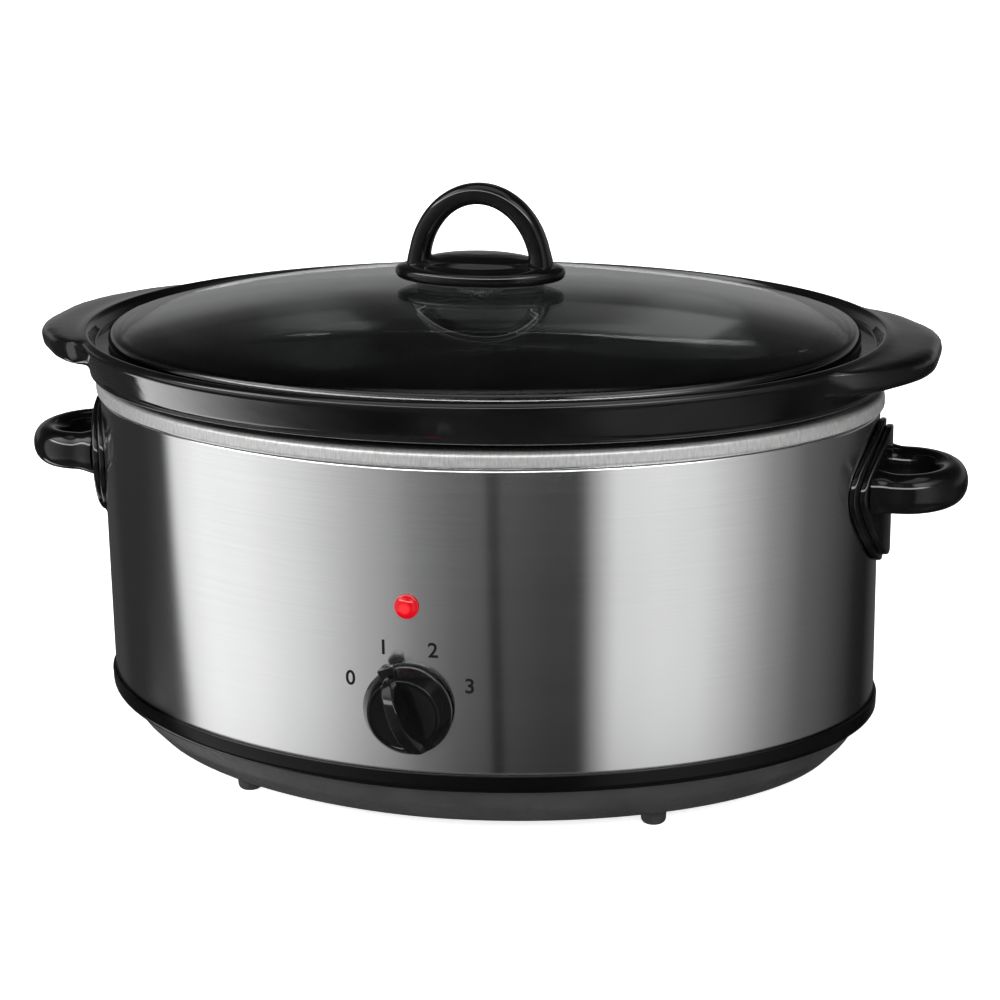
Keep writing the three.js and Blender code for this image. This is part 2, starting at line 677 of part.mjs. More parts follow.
function assembleBase() {
  const base = new THREE.Group();
  base.add(
    named('steel_wrap', steelWrap(), BRUSHED_STEEL),
    named('rim_band', rimBand(), SPECKLED_SILVER),
    named('heating_bowl', heatingBowl(), ALUMINISED_STEEL),
    named('heater_band', heaterBand(), MICA_TAPE),
    named('insulation_blanket', insulationBlanket(), GLASS_FIBRE),
    named('heat_shield', heatShield(), ALUMINISED_STEEL),
    named('base_pan', basePan(), SATIN_BLACK),
    named('centre_stud', centreStud(), PLATED_STEEL),
    named('centre_washer', centreWasher(), PLATED_STEEL),
    named('centre_nut', hexNut(STUD_RADIUS + GAP, 5.8, 2.6, 6.1), PLATED_STEEL),
  );
  for (const [depthName, y] of [['front', -FOOT_Y], ['rear', FOOT_Y]]) {
    for (const [sideName, x] of [['left', -FOOT_X], ['right', FOOT_X]]) {
      const rubber = named(`foot_${depthName}_${sideName}`, foot(), BLACK_RUBBER);
      rubber.position.set(x, y, 0);
      base.add(rubber);
    }
  }
  return base;
}

function assembleHandle(sideName, turn) {
  const handle = new THREE.Group();
  handle.rotation.z = turn;
  handle.add(
    named(`handle_spacer_${sideName}`, handleSpacer(), GLOSS_BLACK),
    named(`side_handle_${sideName}`, sideHandle(), GLOSS_BLACK),
    named(`handle_bracket_${sideName}`, handleBracket(), PLATED_STEEL),
    named(`handle_screw_${sideName}_lower`, handleScrew(HANDLE_SCREW_HEIGHTS[0]), PLATED_STEEL),
    named(`handle_screw_${sideName}_upper`, handleScrew(HANDLE_SCREW_HEIGHTS[1]), PLATED_STEEL),
  );
  return handle;
}

function assembleControls() {
  const controls = new THREE.Group();
  controls.add(
    named('rotary_switch', rotarySwitch(), SATIN_BLACK),
    named('switch_nut', switchNut(), PLATED_STEEL),
    named('switch_shaft', switchShaft(), PLATED_STEEL),
    named('control_knob', controlKnob(), GLOSS_BLACK),
    named('indicator_lens', indicatorLens(), RED_LENS),
    named('indicator_lamp', indicatorLamp(), WHITE_CERAMIC),
    named('thermal_fuse', thermalFuse(), WHITE_CERAMIC),
    named('fuse_clip', fuseClip(), PLATED_STEEL),
    named('terminal_block', terminalBlock(), WHITE_CERAMIC),
    named('cord_gland', cordGland(), SATIN_BLACK),
    named('wire_block_to_fuse', wireToFuse(), WIRE_SLEEVE),
    named('wire_block_to_switch', wireToSwitch(), WIRE_SLEEVE),
    named('wire_switch_to_lamp', wireToLamp(), WIRE_SLEEVE),
    named('wire_fuse_to_heater', wireToHeater(), WIRE_SLEEVE),
  );
  return controls;
}

function assembleLid() {
  const lid = new THREE.Group();
  lid.add(
    named('lid_glass', lidGlass(), CLEAR_GLASS),
    named('lid_handle', lidHandle(), GLOSS_BLACK),
    named('lid_handle_seal', lidHandleSeal(), CLEAR_SILICONE),
    named('lid_screw_washer', lidScrewWasher(), PLATED_STEEL),
    named('lid_screw', lidScrew(), PLATED_STEEL),
  );
  return lid;
}

const slowCooker = new THREE.Group();
slowCooker.add(
  assembleBase(),
  assembleHandle('right', 0),
  assembleHandle('left', Math.PI),
  assembleControls(),
  named('crock', crock(), BLACK_GLAZE),
  assembleLid(),
);

export default slowCooker;
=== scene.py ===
import math

import bmesh
import bpy
from mathutils import Matrix, Vector


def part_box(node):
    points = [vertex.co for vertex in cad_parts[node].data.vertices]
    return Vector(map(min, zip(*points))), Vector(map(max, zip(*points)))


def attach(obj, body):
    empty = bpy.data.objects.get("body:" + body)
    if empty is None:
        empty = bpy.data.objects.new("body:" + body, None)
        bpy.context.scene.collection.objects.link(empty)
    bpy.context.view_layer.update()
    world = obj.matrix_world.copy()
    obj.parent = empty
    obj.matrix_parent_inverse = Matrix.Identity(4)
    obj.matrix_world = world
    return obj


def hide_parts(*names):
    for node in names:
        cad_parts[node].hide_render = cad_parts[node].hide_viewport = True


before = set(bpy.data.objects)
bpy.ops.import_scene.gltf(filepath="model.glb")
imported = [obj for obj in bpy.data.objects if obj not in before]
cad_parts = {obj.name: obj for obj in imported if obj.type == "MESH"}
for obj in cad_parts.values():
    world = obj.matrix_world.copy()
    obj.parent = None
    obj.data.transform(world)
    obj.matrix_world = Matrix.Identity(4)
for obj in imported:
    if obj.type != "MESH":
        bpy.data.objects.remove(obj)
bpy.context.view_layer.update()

MM = 0.001

# ---- places and sizes taken from the frame, in millimetres ----


def node_box(name):
    low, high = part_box(name)
    return low / MM, high / MM


WRAP_LOW, WRAP_HIGH = node_box("steel_wrap")
BODY_A = WRAP_HIGH.x
BODY_B = WRAP_HIGH.y
BODY_N = 1.88
BODY_SIDES = 420
LENS_LOW, LENS_HIGH = node_box("indicator_lens")
LAMP_Z = (LENS_LOW.z + LENS_HIGH.z) / 2
GLAND_LOW, GLAND_HIGH = node_box("cord_gland")
GLAND_Z = (GLAND_LOW.z + GLAND_HIGH.z) / 2
SHAFT_LOW, SHAFT_HIGH = node_box("switch_shaft")
KNOB_Z = (SHAFT_LOW.z + SHAFT_HIGH.z) / 2
KNOB_LOW = node_box("control_knob")[0]
GRIP_HIGH = node_box("side_handle_right")[1]
ARCH_TOP = node_box("lid_handle")[1].z
GLASS_HIGH = node_box("lid_glass")[1]
GAP = 0.3


# ---- mesh helpers, all in millimetres ----


def mixed(first, second, share):
    return tuple(p + (q - p) * share for p, q in zip(first, second))


def smooth(value):
    value = min(max(value, 0.0), 1.0)
    return value * value * (3 - 2 * value)


def softened(corners, closed=False, steps=4):
    """A run of rings or points with eased corners. Each ends with how far from it its easing starts."""
    out = []
    count = len(corners)
    for i, corner in enumerate(corners):
        place, reach = corner[:-1], corner[-1]
        if reach == 0 or (not closed and i in (0, count - 1)):
            out.append(place)
            continue
        before, after = corners[i - 1][:-1], corners[(i + 1) % count][:-1]
        start = mixed(place, before, min(reach / max(math.dist(place, before), 1e-6), 0.48))
        end = mixed(place, after, min(reach / max(math.dist(place, after), 1e-6), 0.48))
        for k in range(steps + 1):
            t = k / steps
            out.append(mixed(mixed(start, place, t), mixed(place, end, t), t))
    return out


def turns(count):
    return [2 * math.pi * i / count for i in range(count)]


def oval_point(a, b, n, turn):
    c, s = math.cos(turn), math.sin(turn)
    return (
        a * math.copysign(abs(c) ** (2 / n), c),
        b * math.copysign(abs(s) ** (2 / n), s),
    )


def oval_ring(ring, angles):
    a, b, n, z = ring
    return [(*oval_point(a, b, n, t), z) for t in angles]


def around_body(section):
    """Rings that follow the wrap at a distance outside it: (distance, height, ease)."""
    return [(BODY_A + d, BODY_B + d, BODY_N, z, ease) for d, z, ease in section]


def new_object(name, mesh):
    piece = bpy.data.objects.new(name, mesh)
    bpy.context.scene.collection.objects.link(piece)
    return piece


def finish_mesh(mesh, sharp=38):
    work = bmesh.new()
    work.from_mesh(mesh)
    bmesh.ops.recalc_face_normals(work, faces=work.faces)
    work.to_mesh(mesh)
    work.free()
    mesh.shade_smooth()
    mesh.set_sharp_from_angle(angle=math.radians(sharp))
    mesh.update()
    return mesh


def skin(name, rings, closed=False, sharp=38, uv=False):
    """A closed body through rings of equally many points. Open runs of rings are capped at both ends."""
    count = len(rings[0])
    points = [Vector(p) * MM for ring in rings for p in ring]
    faces = []
    uvs = []
    along = [0.0]
    for i in range(count):
        step = Vector(rings[0][(i + 1) % count]) - Vector(rings[0][i])
        along.append(along[-1] + step.length * MM)
    across = [0.0]
    for r in range(len(rings)):
        step = Vector(rings[(r + 1) % len(rings)][0]) - Vector(rings[r][0])
        across.append(across[-1] + step.length * MM)
    for r in range(len(rings) if closed else len(rings) - 1):
        low, high = r * count, ((r + 1) % len(rings)) * count
        for i in range(count):
            j = (i + 1) % count
            faces.append((low + i, low + j, high + j, high + i))
            uvs += [
                (along[i], across[r]),
                (along[i + 1], across[r]),
                (along[i + 1], across[r + 1]),
                (along[i], across[r + 1]),
            ]
    if not closed:
        for r in (0, len(rings) - 1):
            ring = points[r * count : (r + 1) * count]
            middle = len(points)
            points.append(sum(ring, Vector()) / count)
            for i in range(count):
                faces.append((r * count + i, r * count + (i + 1) % count, middle))
                uvs += [(along[i], across[r]), (along[i + 1], across[r]), (along[i], 0)]
    mesh = bpy.data.meshes.new(name)
    mesh.from_pydata(points, [], faces)
    if uv:
        layer = mesh.uv_layers.new(name="UVMap")
        for loop, place in zip(layer.data, uvs):
            loop.uv = place
    finish_mesh(mesh, sharp)
    return new_object(name, mesh)


def lofted(name, rings, closed=False, count=256, sharp=38, uv=False, steps=4):
    eased = softened(rings, closed, steps)
    return skin(name, [oval_ring(r, turns(count)) for r in eased], closed, sharp, uv)


def lathed(name, section, count=64, closed=False, sharp=38):
    """Turned about +Z from (radius, height, ease)."""
    rings = [(r, r, 2, z, ease) for r, z, ease in section]
    return lofted(name, rings, closed, count, sharp)


def moved(piece, matrix):
    piece.data.transform(matrix)
    return piece


def place(x, y, z):
    return Matrix.Translation(Vector((x, y, z)) * MM)


FACE_FRONT = Matrix.Rotation(math.pi / 2, 4, "X")
FACE_BACK = Matrix.Rotation(-math.pi / 2, 4, "X")


def fused(name, *parts, bores=(), sharp=38):
    """One closed body from overlapping ones, with the bores cut out of it."""
    first = parts[0]
    for other in (*parts[1:], *bores):
        step = first.modifiers.new("step", "BOOLEAN")
        step.operation = "DIFFERENCE" if other in bores else "UNION"
        step.solver = "EXACT"
        step.object = other
    bpy.context.view_layer.update()
    graph = bpy.context.evaluated_depsgraph_get()
    mesh = bpy.data.meshes.new_from_object(first.evaluated_get(graph))
    mesh.name = name
    for part in (*parts, *bores):
        bpy.data.objects.remove(part)
    finish_mesh(mesh, sharp)
    return new_object(name, mesh)


def swept(name, spine, half_widths, half_heights, roundness=2.0, sides=40, upright=(0, 0, 1)):
    """A bar along spine. Its section is an oval, squarer as roundness grows."""
    rings = []
    up = Vector(upright)
    for i, here in enumerate(spine):
        ahead = Vector(spine[min(i + 1, len(spine) - 1)])
        behind = Vector(spine[max(i - 1, 0)])
        forward = (ahead - behind).normalized()
        aside = forward.cross(up).normalized()
        ring = []
        for t in turns(sides):
            u, v = oval_point(half_widths[i], half_heights[i], roundness, t)
            ring.append(tuple(Vector(here) + aside * u + up * v))
        rings.append(ring)
    return skin(name, rings, sharp=60)


# ---- finishes ----


class Finish:
    """One procedural material, built round a Principled shader."""

    def __init__(self, slot, metallic=0.0):
        self.slot = slot
        self.material = bpy.data.materials.new("finish_" + slot)
        self.material.use_nodes = True
        self.tree = self.material.node_tree
        self.surface = self.tree.nodes["Principled BSDF"]
        self.where = self.node("TexCoord").outputs["Object"]
        self.set("Metallic", metallic)

    def node(self, kind, **settings):
        made = self.tree.nodes.new("ShaderNode" + kind)
        for key, value in settings.items():
            setattr(made, key, value)
        return made

    def feed(self, socket, value):
        if isinstance(value, bpy.types.NodeSocket):
            self.tree.links.new(value, socket)
        else:
            socket.default_value = value

    def set(self, name, value):
        self.feed(self.surface.inputs[name], value)

    def stretched(self, scale, where):
        mapping = self.node("Mapping")
        self.feed(mapping.inputs["Vector"], where)
        mapping.inputs["Scale"].default_value = scale
        return mapping.outputs["Vector"]

    def noise(self, scale, detail=3.0, where=None, roughness=0.5):
        made = self.node("TexNoise")
        self.feed(made.inputs["Vector"], where or self.where)
        made.inputs["Scale"].default_value = scale
        made.inputs["Detail"].default_value = detail
        made.inputs["Roughness"].default_value = roughness
        return made.outputs["Fac"]

    def cells(self, scale):
        made = self.node("TexVoronoi", feature="F1")
        self.feed(made.inputs["Vector"], self.where)
        made.inputs["Scale"].default_value = scale
        return made.outputs["Distance"]

    def span(self, value, low, high, start=0.3, end=0.7, curve="LINEAR"):
        made = self.node("MapRange", interpolation_type=curve)
        self.feed(made.inputs["Value"], value)
        made.inputs["From Min"].default_value = start
        made.inputs["From Max"].default_value = end
        made.inputs["To Min"].default_value = low
        made.inputs["To Max"].default_value = high
        return made.outputs["Result"]

    def math(self, operation, first, second=0.0):
        made = self.node("Math", operation=operation)
        self.feed(made.inputs[0], first)
        self.feed(made.inputs[1], second)
        return made.outputs[0]

    def colours(self, factor, first, second):
        made = self.node("Mix", data_type="RGBA")
        self.feed(made.inputs[0], factor)
        self.feed(made.inputs[6], first if not isinstance(first, tuple) else (*first, 1))
        self.feed(made.inputs[7], second if not isinstance(second, tuple) else (*second, 1))
        return made.outputs[2]

    def axis(self, index):
        made = self.node("SeparateXYZ")
        self.feed(made.inputs[0], self.where)
        return made.outputs[index]

    def bump(self, height, strength, distance, after=None):
        made = self.node("Bump")
        made.inputs["Strength"].default_value = strength
        made.inputs["Distance"].default_value = distance
        self.feed(made.inputs["Height"], height)
        if after is not None:
            self.feed(made.inputs["Normal"], after)
        self.set("Normal", made.outputs["Normal"])
        return made.outputs["Normal"]


def plain_variation(finish, base, spread, scale, rough, rough_spread):
    """Slow drift of colour and finer drift of roughness, over the whole piece."""
    drift = finish.noise(scale, 4)
    low = tuple(c * (1 - spread) for c in base)
    high = tuple(min(c * (1 + spread), 1) for c in base)
    finish.set("Base Color", finish.colours(finish.span(drift, 0, 1), low, high))
    fine = finish.noise(scale * 7, 5)
    finish.set("Roughness", finish.span(fine, rough - rough_spread, rough + rough_spread))
    return fine


def brushed_stainless():
    f = Finish("brushed_stainless", 1.0)
    uv = f.node("UVMap").outputs["UV"]
    long_marks = f.noise(1.0, 6, f.stretched((9, 1500, 1), uv), 0.6)
    fine_marks = f.noise(1.0, 4, f.stretched((45, 5200, 1), uv), 0.6)
    marks = f.math("ADD", f.math("MULTIPLY", long_marks, 0.6), f.math("MULTIPLY", fine_marks, 0.4))
    tone = f.colours(f.span(marks, 0, 1, 0.38, 0.62), (0.65, 0.652, 0.655), (0.69, 0.692, 0.695))
    cloud = f.span(f.noise(14, 3), 0.96, 1.0)
    shade = f.node("Mix", data_type="RGBA", blend_type="MULTIPLY")
    shade.inputs[0].default_value = 1.0
    f.feed(shade.inputs[6], tone)
    f.feed(shade.inputs[7], cloud)
    f.set("Base Color", shade.outputs[2])
    f.set("Roughness", f.span(marks, 0.12, 0.16, 0.38, 0.62))
    f.set("Anisotropic", 1.0)
    f.set("Anisotropic Rotation", 0.25)
    tangent = f.node("Tangent", direction_type="UV_MAP")
    tangent.uv_map = "UVMap"
    f.set("Tangent", tangent.outputs["Tangent"])
    f.bump(marks, 0.055, 0.00004)
    return f


def speckled_silver():
    f = Finish("speckled_silver", 0.6)
    uv = f.node("UVMap").outputs["UV"]
    streak = f.noise(1.0, 3, f.stretched((1100, 240, 1), uv), 0.6)
    grain = f.noise(2600, 2)
    both = f.math("ADD", f.math("MULTIPLY", streak, 0.65), f.math("MULTIPLY", grain, 0.35))
    f.set("Base Color", f.colours(f.span(both, 0, 1, 0.36, 0.62), (0.31, 0.31, 0.31), (0.46, 0.46, 0.455)))
    f.set("Roughness", f.span(grain, 0.32, 0.5))
    f.bump(both, 0.22, 0.00012)
    return f


def aluminised_steel():
    f = Finish("aluminised_steel", 1.0)
    spangle = f.cells(210)
    f.set("Base Color", f.colours(f.span(spangle, 0, 1, 0.1, 0.7), (0.42, 0.43, 0.44), (0.58, 0.59, 0.6)))
    f.set("Roughness", f.span(f.noise(420, 4), 0.34, 0.5))
    f.bump(f.noise(900, 3), 0.15, 0.0001)
    return f


def plated_steel():
    f = Finish("plated_steel", 1.0)
    fine = plain_variation(f, (0.56, 0.56, 0.57), 0.08, 240, 0.28, 0.07)
    f.bump(fine, 0.1, 0.00005)
    return f


def black_glaze():
    f = Finish("black_glaze")
    pool = f.noise(34, 3)
    f.set("Base Color", f.colours(f.span(pool, 0, 1), (0.002, 0.002, 0.0022), (0.005, 0.0048, 0.005)))
    f.set("Roughness", f.span(f.noise(300, 3), 0.045, 0.085))
    f.set("Specular IOR Level", 0.42)
    waves = f.bump(f.noise(55, 2), 0.05, 0.0012)
    f.bump(f.noise(750, 2), 0.05, 0.00006, waves)
    return f


# Where painted shade darkens the glass towards its rim, as the square of the share of the way from its
# middle to its rim.
GLASS_SHADE_RIM = (0.95, 0.975)


def clear_glass():
    f = Finish("clear_glass")
    f.set("Transmission Weight", 1.0)
    f.set("IOR", 1.5)
    f.set("Roughness", f.span(f.noise(60, 3), 0.0, 0.012))
    along = f.math("POWER", f.math("MULTIPLY", f.axis(0), 1 / (GLASS_HIGH.x * MM)), 2.0)
    across = f.math("POWER", f.math("MULTIPLY", f.axis(1), 1 / (GLASS_HIGH.y * MM)), 2.0)
    rim_shade = f.span(f.math("ADD", along, across), 0, 1, *GLASS_SHADE_RIM)
    # Painted shade: the clear glass is tinted grey all over and nearly black at its rim, standing in for
    # the dark look through the lid and along its edge.
    f.set("Base Color", f.colours(rim_shade, (0.66, 0.68, 0.68), (0.03, 0.034, 0.034)))
    f.bump(f.noise(16, 1), 0.04, 0.001)
    clear = f.node("BsdfTransparent")
    clear.inputs["Color"].default_value = (0.9, 0.92, 0.92, 1)
    rays = f.node("LightPath")
    pick = f.node("MixShader")
    f.feed(pick.inputs[0], rays.outputs["Is Shadow Ray"])
    f.feed(pick.inputs[1], f.surface.outputs[0])
    f.feed(pick.inputs[2], clear.outputs[0])
    f.feed(f.tree.nodes["Material Output"].inputs["Surface"], pick.outputs[0])
    return f


def gloss_black_plastic():
    f = Finish("gloss_black_plastic")
    fine = plain_variation(f, (0.003, 0.003, 0.0032), 0.25, 90, 0.07, 0.02)
    f.set("Specular IOR Level", 0.28)
    f.bump(fine, 0.03, 0.0001)
    return f


def knob_plastic():
    """The same plastic with a weaker shine."""
    f = gloss_black_plastic()
    f.set("Specular IOR Level", 0.16)
    return f


def satin_black_plastic():
    f = Finish("satin_black_plastic")
    plain_variation(f, (0.016, 0.016, 0.0165), 0.15, 60, 0.4, 0.06)
    f.bump(f.noise(2400, 2), 0.25, 0.00012)
    return f


# Heights between which the pan's satin wall turns into its glossy lip.
PAN_LIP = (27.8 * MM, 28.6 * MM)


def pan_plastic():
    """Satin plastic that turns deep black and glossy on the lip along its top."""
    f = satin_black_plastic()
    f.set("Specular IOR Level", 0.12)
    lip = f.span(f.axis(2), 0, 1, *PAN_LIP)
    drift = f.span(f.noise(60, 4), 0, 1)
    satin_tone = f.colours(drift, (0.022, 0.022, 0.0225), (0.03, 0.03, 0.031))
    f.set("Base Color", f.colours(lip, satin_tone, (0.0015, 0.0015, 0.0016)))
    fine = f.noise(420, 5)
    satin = f.span(fine, 0.34, 0.46)
    gloss = f.span(fine, 0.1, 0.16)
    keep = f.math("SUBTRACT", 1.0, lip)
    rough = f.math("ADD", f.math("MULTIPLY", satin, keep), f.math("MULTIPLY", gloss, lip))
    f.set("Roughness", rough)
    return f


def switch_plastic():
    f = Finish("switch_plastic")
    fine = plain_variation(f, (0.045, 0.045, 0.047), 0.2, 150, 0.5, 0.08)
    f.bump(fine, 0.2, 0.0001)
    return f


def black_rubber():
    f = Finish("black_rubber")
    plain_variation(f, (0.016, 0.016, 0.016), 0.3, 180, 0.72, 0.08)
    f.bump(f.noise(1500, 3), 0.4, 0.0002)
    return f


def clear_silicone():
    f = Finish("clear_silicone")
    plain_variation(f, (0.07, 0.07, 0.068), 0.12, 120, 0.45, 0.08)
    f.set("Transmission Weight", 0.35)
    f.bump(f.noise(500, 3), 0.1, 0.0001)
    return f


# Radii between which the lens fades from its bright middle to its deep red edge.
LENS_GLOW = (1.2 * MM, 2.8 * MM)


def red_lens():
    f = Finish("red_lens")
    away = f.node("VectorMath", operation="DISTANCE")
    flat = f.node("CombineXYZ")
    f.feed(flat.inputs[0], f.axis(0))
    f.feed(flat.inputs[2], f.axis(2))
    f.feed(away.inputs[0], flat.outputs[0])
    away.inputs[1].default_value = (0, 0, LAMP_Z * MM)
    spread = f.span(away.outputs["Value"], 0, 1, *LENS_GLOW, "SMOOTHSTEP")
    facets = f.span(f.noise(900, 2), 0.92, 1.08)
    f.set("Base Color", f.colours(spread, (0.3, 0.01, 0.01), (0.15, 0.001, 0.003)))
    f.set("Emission Color", f.colours(spread, (0.74, 0.015, 0.022), (0.42, 0.0003, 0.005)))
    f.set("Emission Strength", 1.0)
    f.set("Specular IOR Level", 0.25)
    f.set("Roughness", f.math("MULTIPLY", facets, 0.12))
    f.bump(f.noise(1200, 2), 0.05, 0.0001)
    return f


def white_ceramic():
    f = Finish("white_ceramic")
    fine = plain_variation(f, (0.75, 0.73, 0.68), 0.06, 160, 0.6, 0.08)
    f.bump(fine, 0.2, 0.0001)
    return f


def woven(slot, base, pitch, rough):
    f = Finish(slot)
    over = f.node("TexWave", wave_type="BANDS", bands_direction="Z")
    over.inputs["Scale"].default_value = pitch
    over.inputs["Distortion"].default_value = 1.2
    across = f.node("TexWave", wave_type="BANDS", bands_direction="X")
    across.inputs["Scale"].default_value = pitch
    across.inputs["Distortion"].default_value = 1.2
    for wave in (over, across):
        f.feed(wave.inputs["Vector"], f.where)
    weave = f.math("MAXIMUM", over.outputs["Fac"], across.outputs["Fac"])
    low = tuple(c * 0.78 for c in base)
    f.set("Base Color", f.colours(f.span(weave, 0, 1, 0.2, 1.0), low, base))
    f.set("Roughness", f.span(f.noise(700, 3), rough - 0.08, min(rough + 0.05, 1)))
    f.bump(weave, 0.5, 0.0003)
    return f


def glass_fibre():
    return woven("glass_fibre", (0.68, 0.64, 0.54), 130, 0.9)


def mica_tape():
    return woven("mica_tape", (0.42, 0.24, 0.08), 90, 0.65)


def wire_sleeve():
    f = Finish("wire_sleeve")
    fine = plain_variation(f, (0.62, 0.58, 0.48), 0.12, 300, 0.68, 0.1)
    f.bump(fine, 0.35, 0.0002)
    return f


def dial_ink():
    f = Finish("dial_ink")
    plain_variation(f, (0.004, 0.004, 0.004), 0.3, 700, 0.5, 0.1)
    f.set("Specular IOR Level", 0.1)
    return f


FINISHES = {
    make.__name__: make()
    for make in (
        brushed_stainless,
        speckled_silver,
        aluminised_steel,
        plated_steel,
        black_glaze,
        clear_glass,
        gloss_black_plastic,
        satin_black_plastic,
        switch_plastic,
        black_rubber,
        clear_silicone,
        red_lens,
        white_ceramic,
        glass_fibre,
        mica_tape,
        wire_sleeve,
    )
}
PAN_FINISH = pan_plastic()
KNOB_FINISH = knob_plastic()
INK_FINISH = dial_ink()


def dressed(piece, slot, body, *nodes, finish=None):
    """Gives a piece its finish, its body and the CAD nodes that it stands for."""
    piece.data.materials.clear()
    piece.data.materials.append((finish or FINISHES[slot]).material)
    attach(piece, body)
    if nodes:
        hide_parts(*nodes)
    return piece


# ---- heating base ----

SEAM_HALF = 4.2
SEAM_RISE = 0.5


def steel_wrap():
    """The wrap, with its folded joint standing proud at the middle of the back."""
    angles = turns(BODY_SIDES)
    for x in (-SEAM_HALF, -SEAM_HALF + 0.5, 0.9, 1.3, SEAM_HALF - 0.5, SEAM_HALF):
        angles.append(math.acos(math.copysign(abs(x / BODY_A) ** (BODY_N / 2), x)))
    angles.sort()
    rise = {-SEAM_HALF + 0.5: SEAM_RISE, 0.9: SEAM_RISE, 1.3: 0.12, SEAM_HALF - 0.5: 0.12}

    def lift(turn):
        x = oval_point(BODY_A, BODY_B, BODY_N, turn)[0]
        if math.sin(turn) <= 0 or abs(x) >= SEAM_HALF - 0.01:
            return 0.0
        stops = [-SEAM_HALF, *rise, SEAM_HALF]
        heights = [0.0, *rise.values(), 0.0]
        for i in range(len(stops) - 1):
            if stops[i] <= x <= stops[i + 1]:
                share = (x - stops[i]) / (stops[i + 1] - stops[i])
                return heights[i] + (heights[i + 1] - heights[i]) * share
        return 0.0

    band_edge = node_box("rim_band")[0].z
    section = softened([
        (0.0, WRAP_LOW.z, 0.4),
        (0.0, band_edge - 1.7, 0.5),
        (-0.8, band_edge - 0.9, 0.3),
        (-0.8, WRAP_HIGH.z, 0.3),
        (-1.4, WRAP_HIGH.z, 0.3),
        (-1.4, band_edge - 1.2, 0.3),
        (-1.0, band_edge - 2.2, 0.3),
        (-1.0, WRAP_LOW.z, 0.4),
    ], closed=True, steps=3)
    rings = []
    for d, z in section:
        ring = []
        for turn in angles:
            extra = lift(turn) if d > -0.3 else 0.0
            ring.append((*oval_point(BODY_A + d, BODY_B + d + extra, BODY_N, turn), z))
        rings.append(ring)
    return dressed(skin("wrap_sheet", rings, True, 30, True), "brushed_stainless", "housing", "steel_wrap")


def rim_band():
    low, high = (corner.z for corner in node_box("rim_band"))
    rings = around_body([
        (0.35, low, 0.3),
        (1.2, low, 0.5),
        (1.7, low + 0.9, 0.7),
        (1.7, high - 1.4, 1.2),
        (0.3, high, 1.2),
        (-9.2, high, 0.4),
        (-9.2, high - 1.2, 0.4),
        (0.35, high - 1.2, 0.2),
    ])
    piece = lofted("rim_band_formed", rings, True, BODY_SIDES, 50, True, steps=5)
    return dressed(piece, "speckled_silver", "housing", "rim_band")


def heating_bowl():
    outside = [(-44, 43.5, 6), (-30, 50, 8), (-22, 64, 9), (-18, 84, 12), (-9.5, 166.1, 0.8)]
    inside = [(d - 1.2, z + (1.2 if i == 0 else 0.4), ease) for i, (d, z, ease) in enumerate(outside)]
    top = node_box("heating_bowl")[1].z
    inside[-1] = (-10.7, top, 1.4)
    rings = around_body([*outside, (-1.5, 166.1, 0.3), (-1.5, top, 0.3), *reversed(inside)])
    piece = lofted("heating_bowl_pressed", rings, False, 256, 40)
    return dressed(piece, "aluminised_steel", "housing", "heating_bowl")


def base_pan():
    ledge = WRAP_LOW.z - GAP
    rings = around_body([
        (-60, 9.4, 1.5),
        (-62, 8, 1.5),
        (-20.5, 8, 2.0),
        (-17.2, 9.6, 2.0),
        (-9.2, 18.3, 3),
        (-4.4, 27.2, 0.8),
        (-3.9, 28.3, 0.5),
        (0.2, 28.8, 0.7),
        (1.3, 30.5, 1.2),
        (1.5, WRAP_LOW.z + 1.2, 0.5),
        (GAP, WRAP_LOW.z + 1.2, 0.3),
        (GAP, ledge, 0.3),
        (-4.5, ledge, 0.6),
        (-6.5, 29, 1.5),
        (-13.5, 19, 3),
        (-23.5, 11.5, 3),
    ])
    piece = lofted("base_pan_moulded", rings, False, 360, 34, steps=5)
    return dressed(piece, "satin_black_plastic", "housing", "base_pan", finish=PAN_FINISH)


def feet():
    for name in ("front_left", "front_right", "rear_left", "rear_right"):
        low, high = node_box("foot_" + name)
        piece = lathed("rubber_foot_" + name, [
            (1.8, 0.6, 0.3),
            (2.4, 0, 0.4),
            (4.3, 0, 0.9),
            (5.2, 1.3, 0.9),
            (5.5, 7.7, 0.3),
            (2.8, 7.7, 0.2),
            (2.8, high.z - 0.8, 0.6),
        ], 48)
        moved(piece, place((low.x + high.x) / 2, (low.y + high.y) / 2, 0))
        dressed(piece, "black_rubber", "housing", "foot_" + name)


# ---- side handles ----


def wrap_reach(y):
    return BODY_A * (1 - min(abs(y) / BODY_B, 1) ** BODY_N) ** (1 / BODY_N)


PLATE_HALF = 34.5
PLATE_FLAT = 10
PLATE_MIDDLE = 129


def plate_outline(inset):
    """A rounded eight-sided outline, as (along Y, height), drawn in by inset."""
    half = PLATE_HALF - inset
    low, high = 98 + inset, 158.5 - inset
    points = [
        (-PLATE_FLAT, low), (PLATE_FLAT, low), (half, low + 26), (half, high - 17),
        (PLATE_FLAT, high), (-PLATE_FLAT, high), (-half, high - 17), (-half, low + 26),
    ]
    for _ in range(5):
        points = [
            mixed(points[i], points[(i + 1) % len(points)], share)
            for i in range(len(points))
            for share in (0.25, 0.75)
        ]
    return points


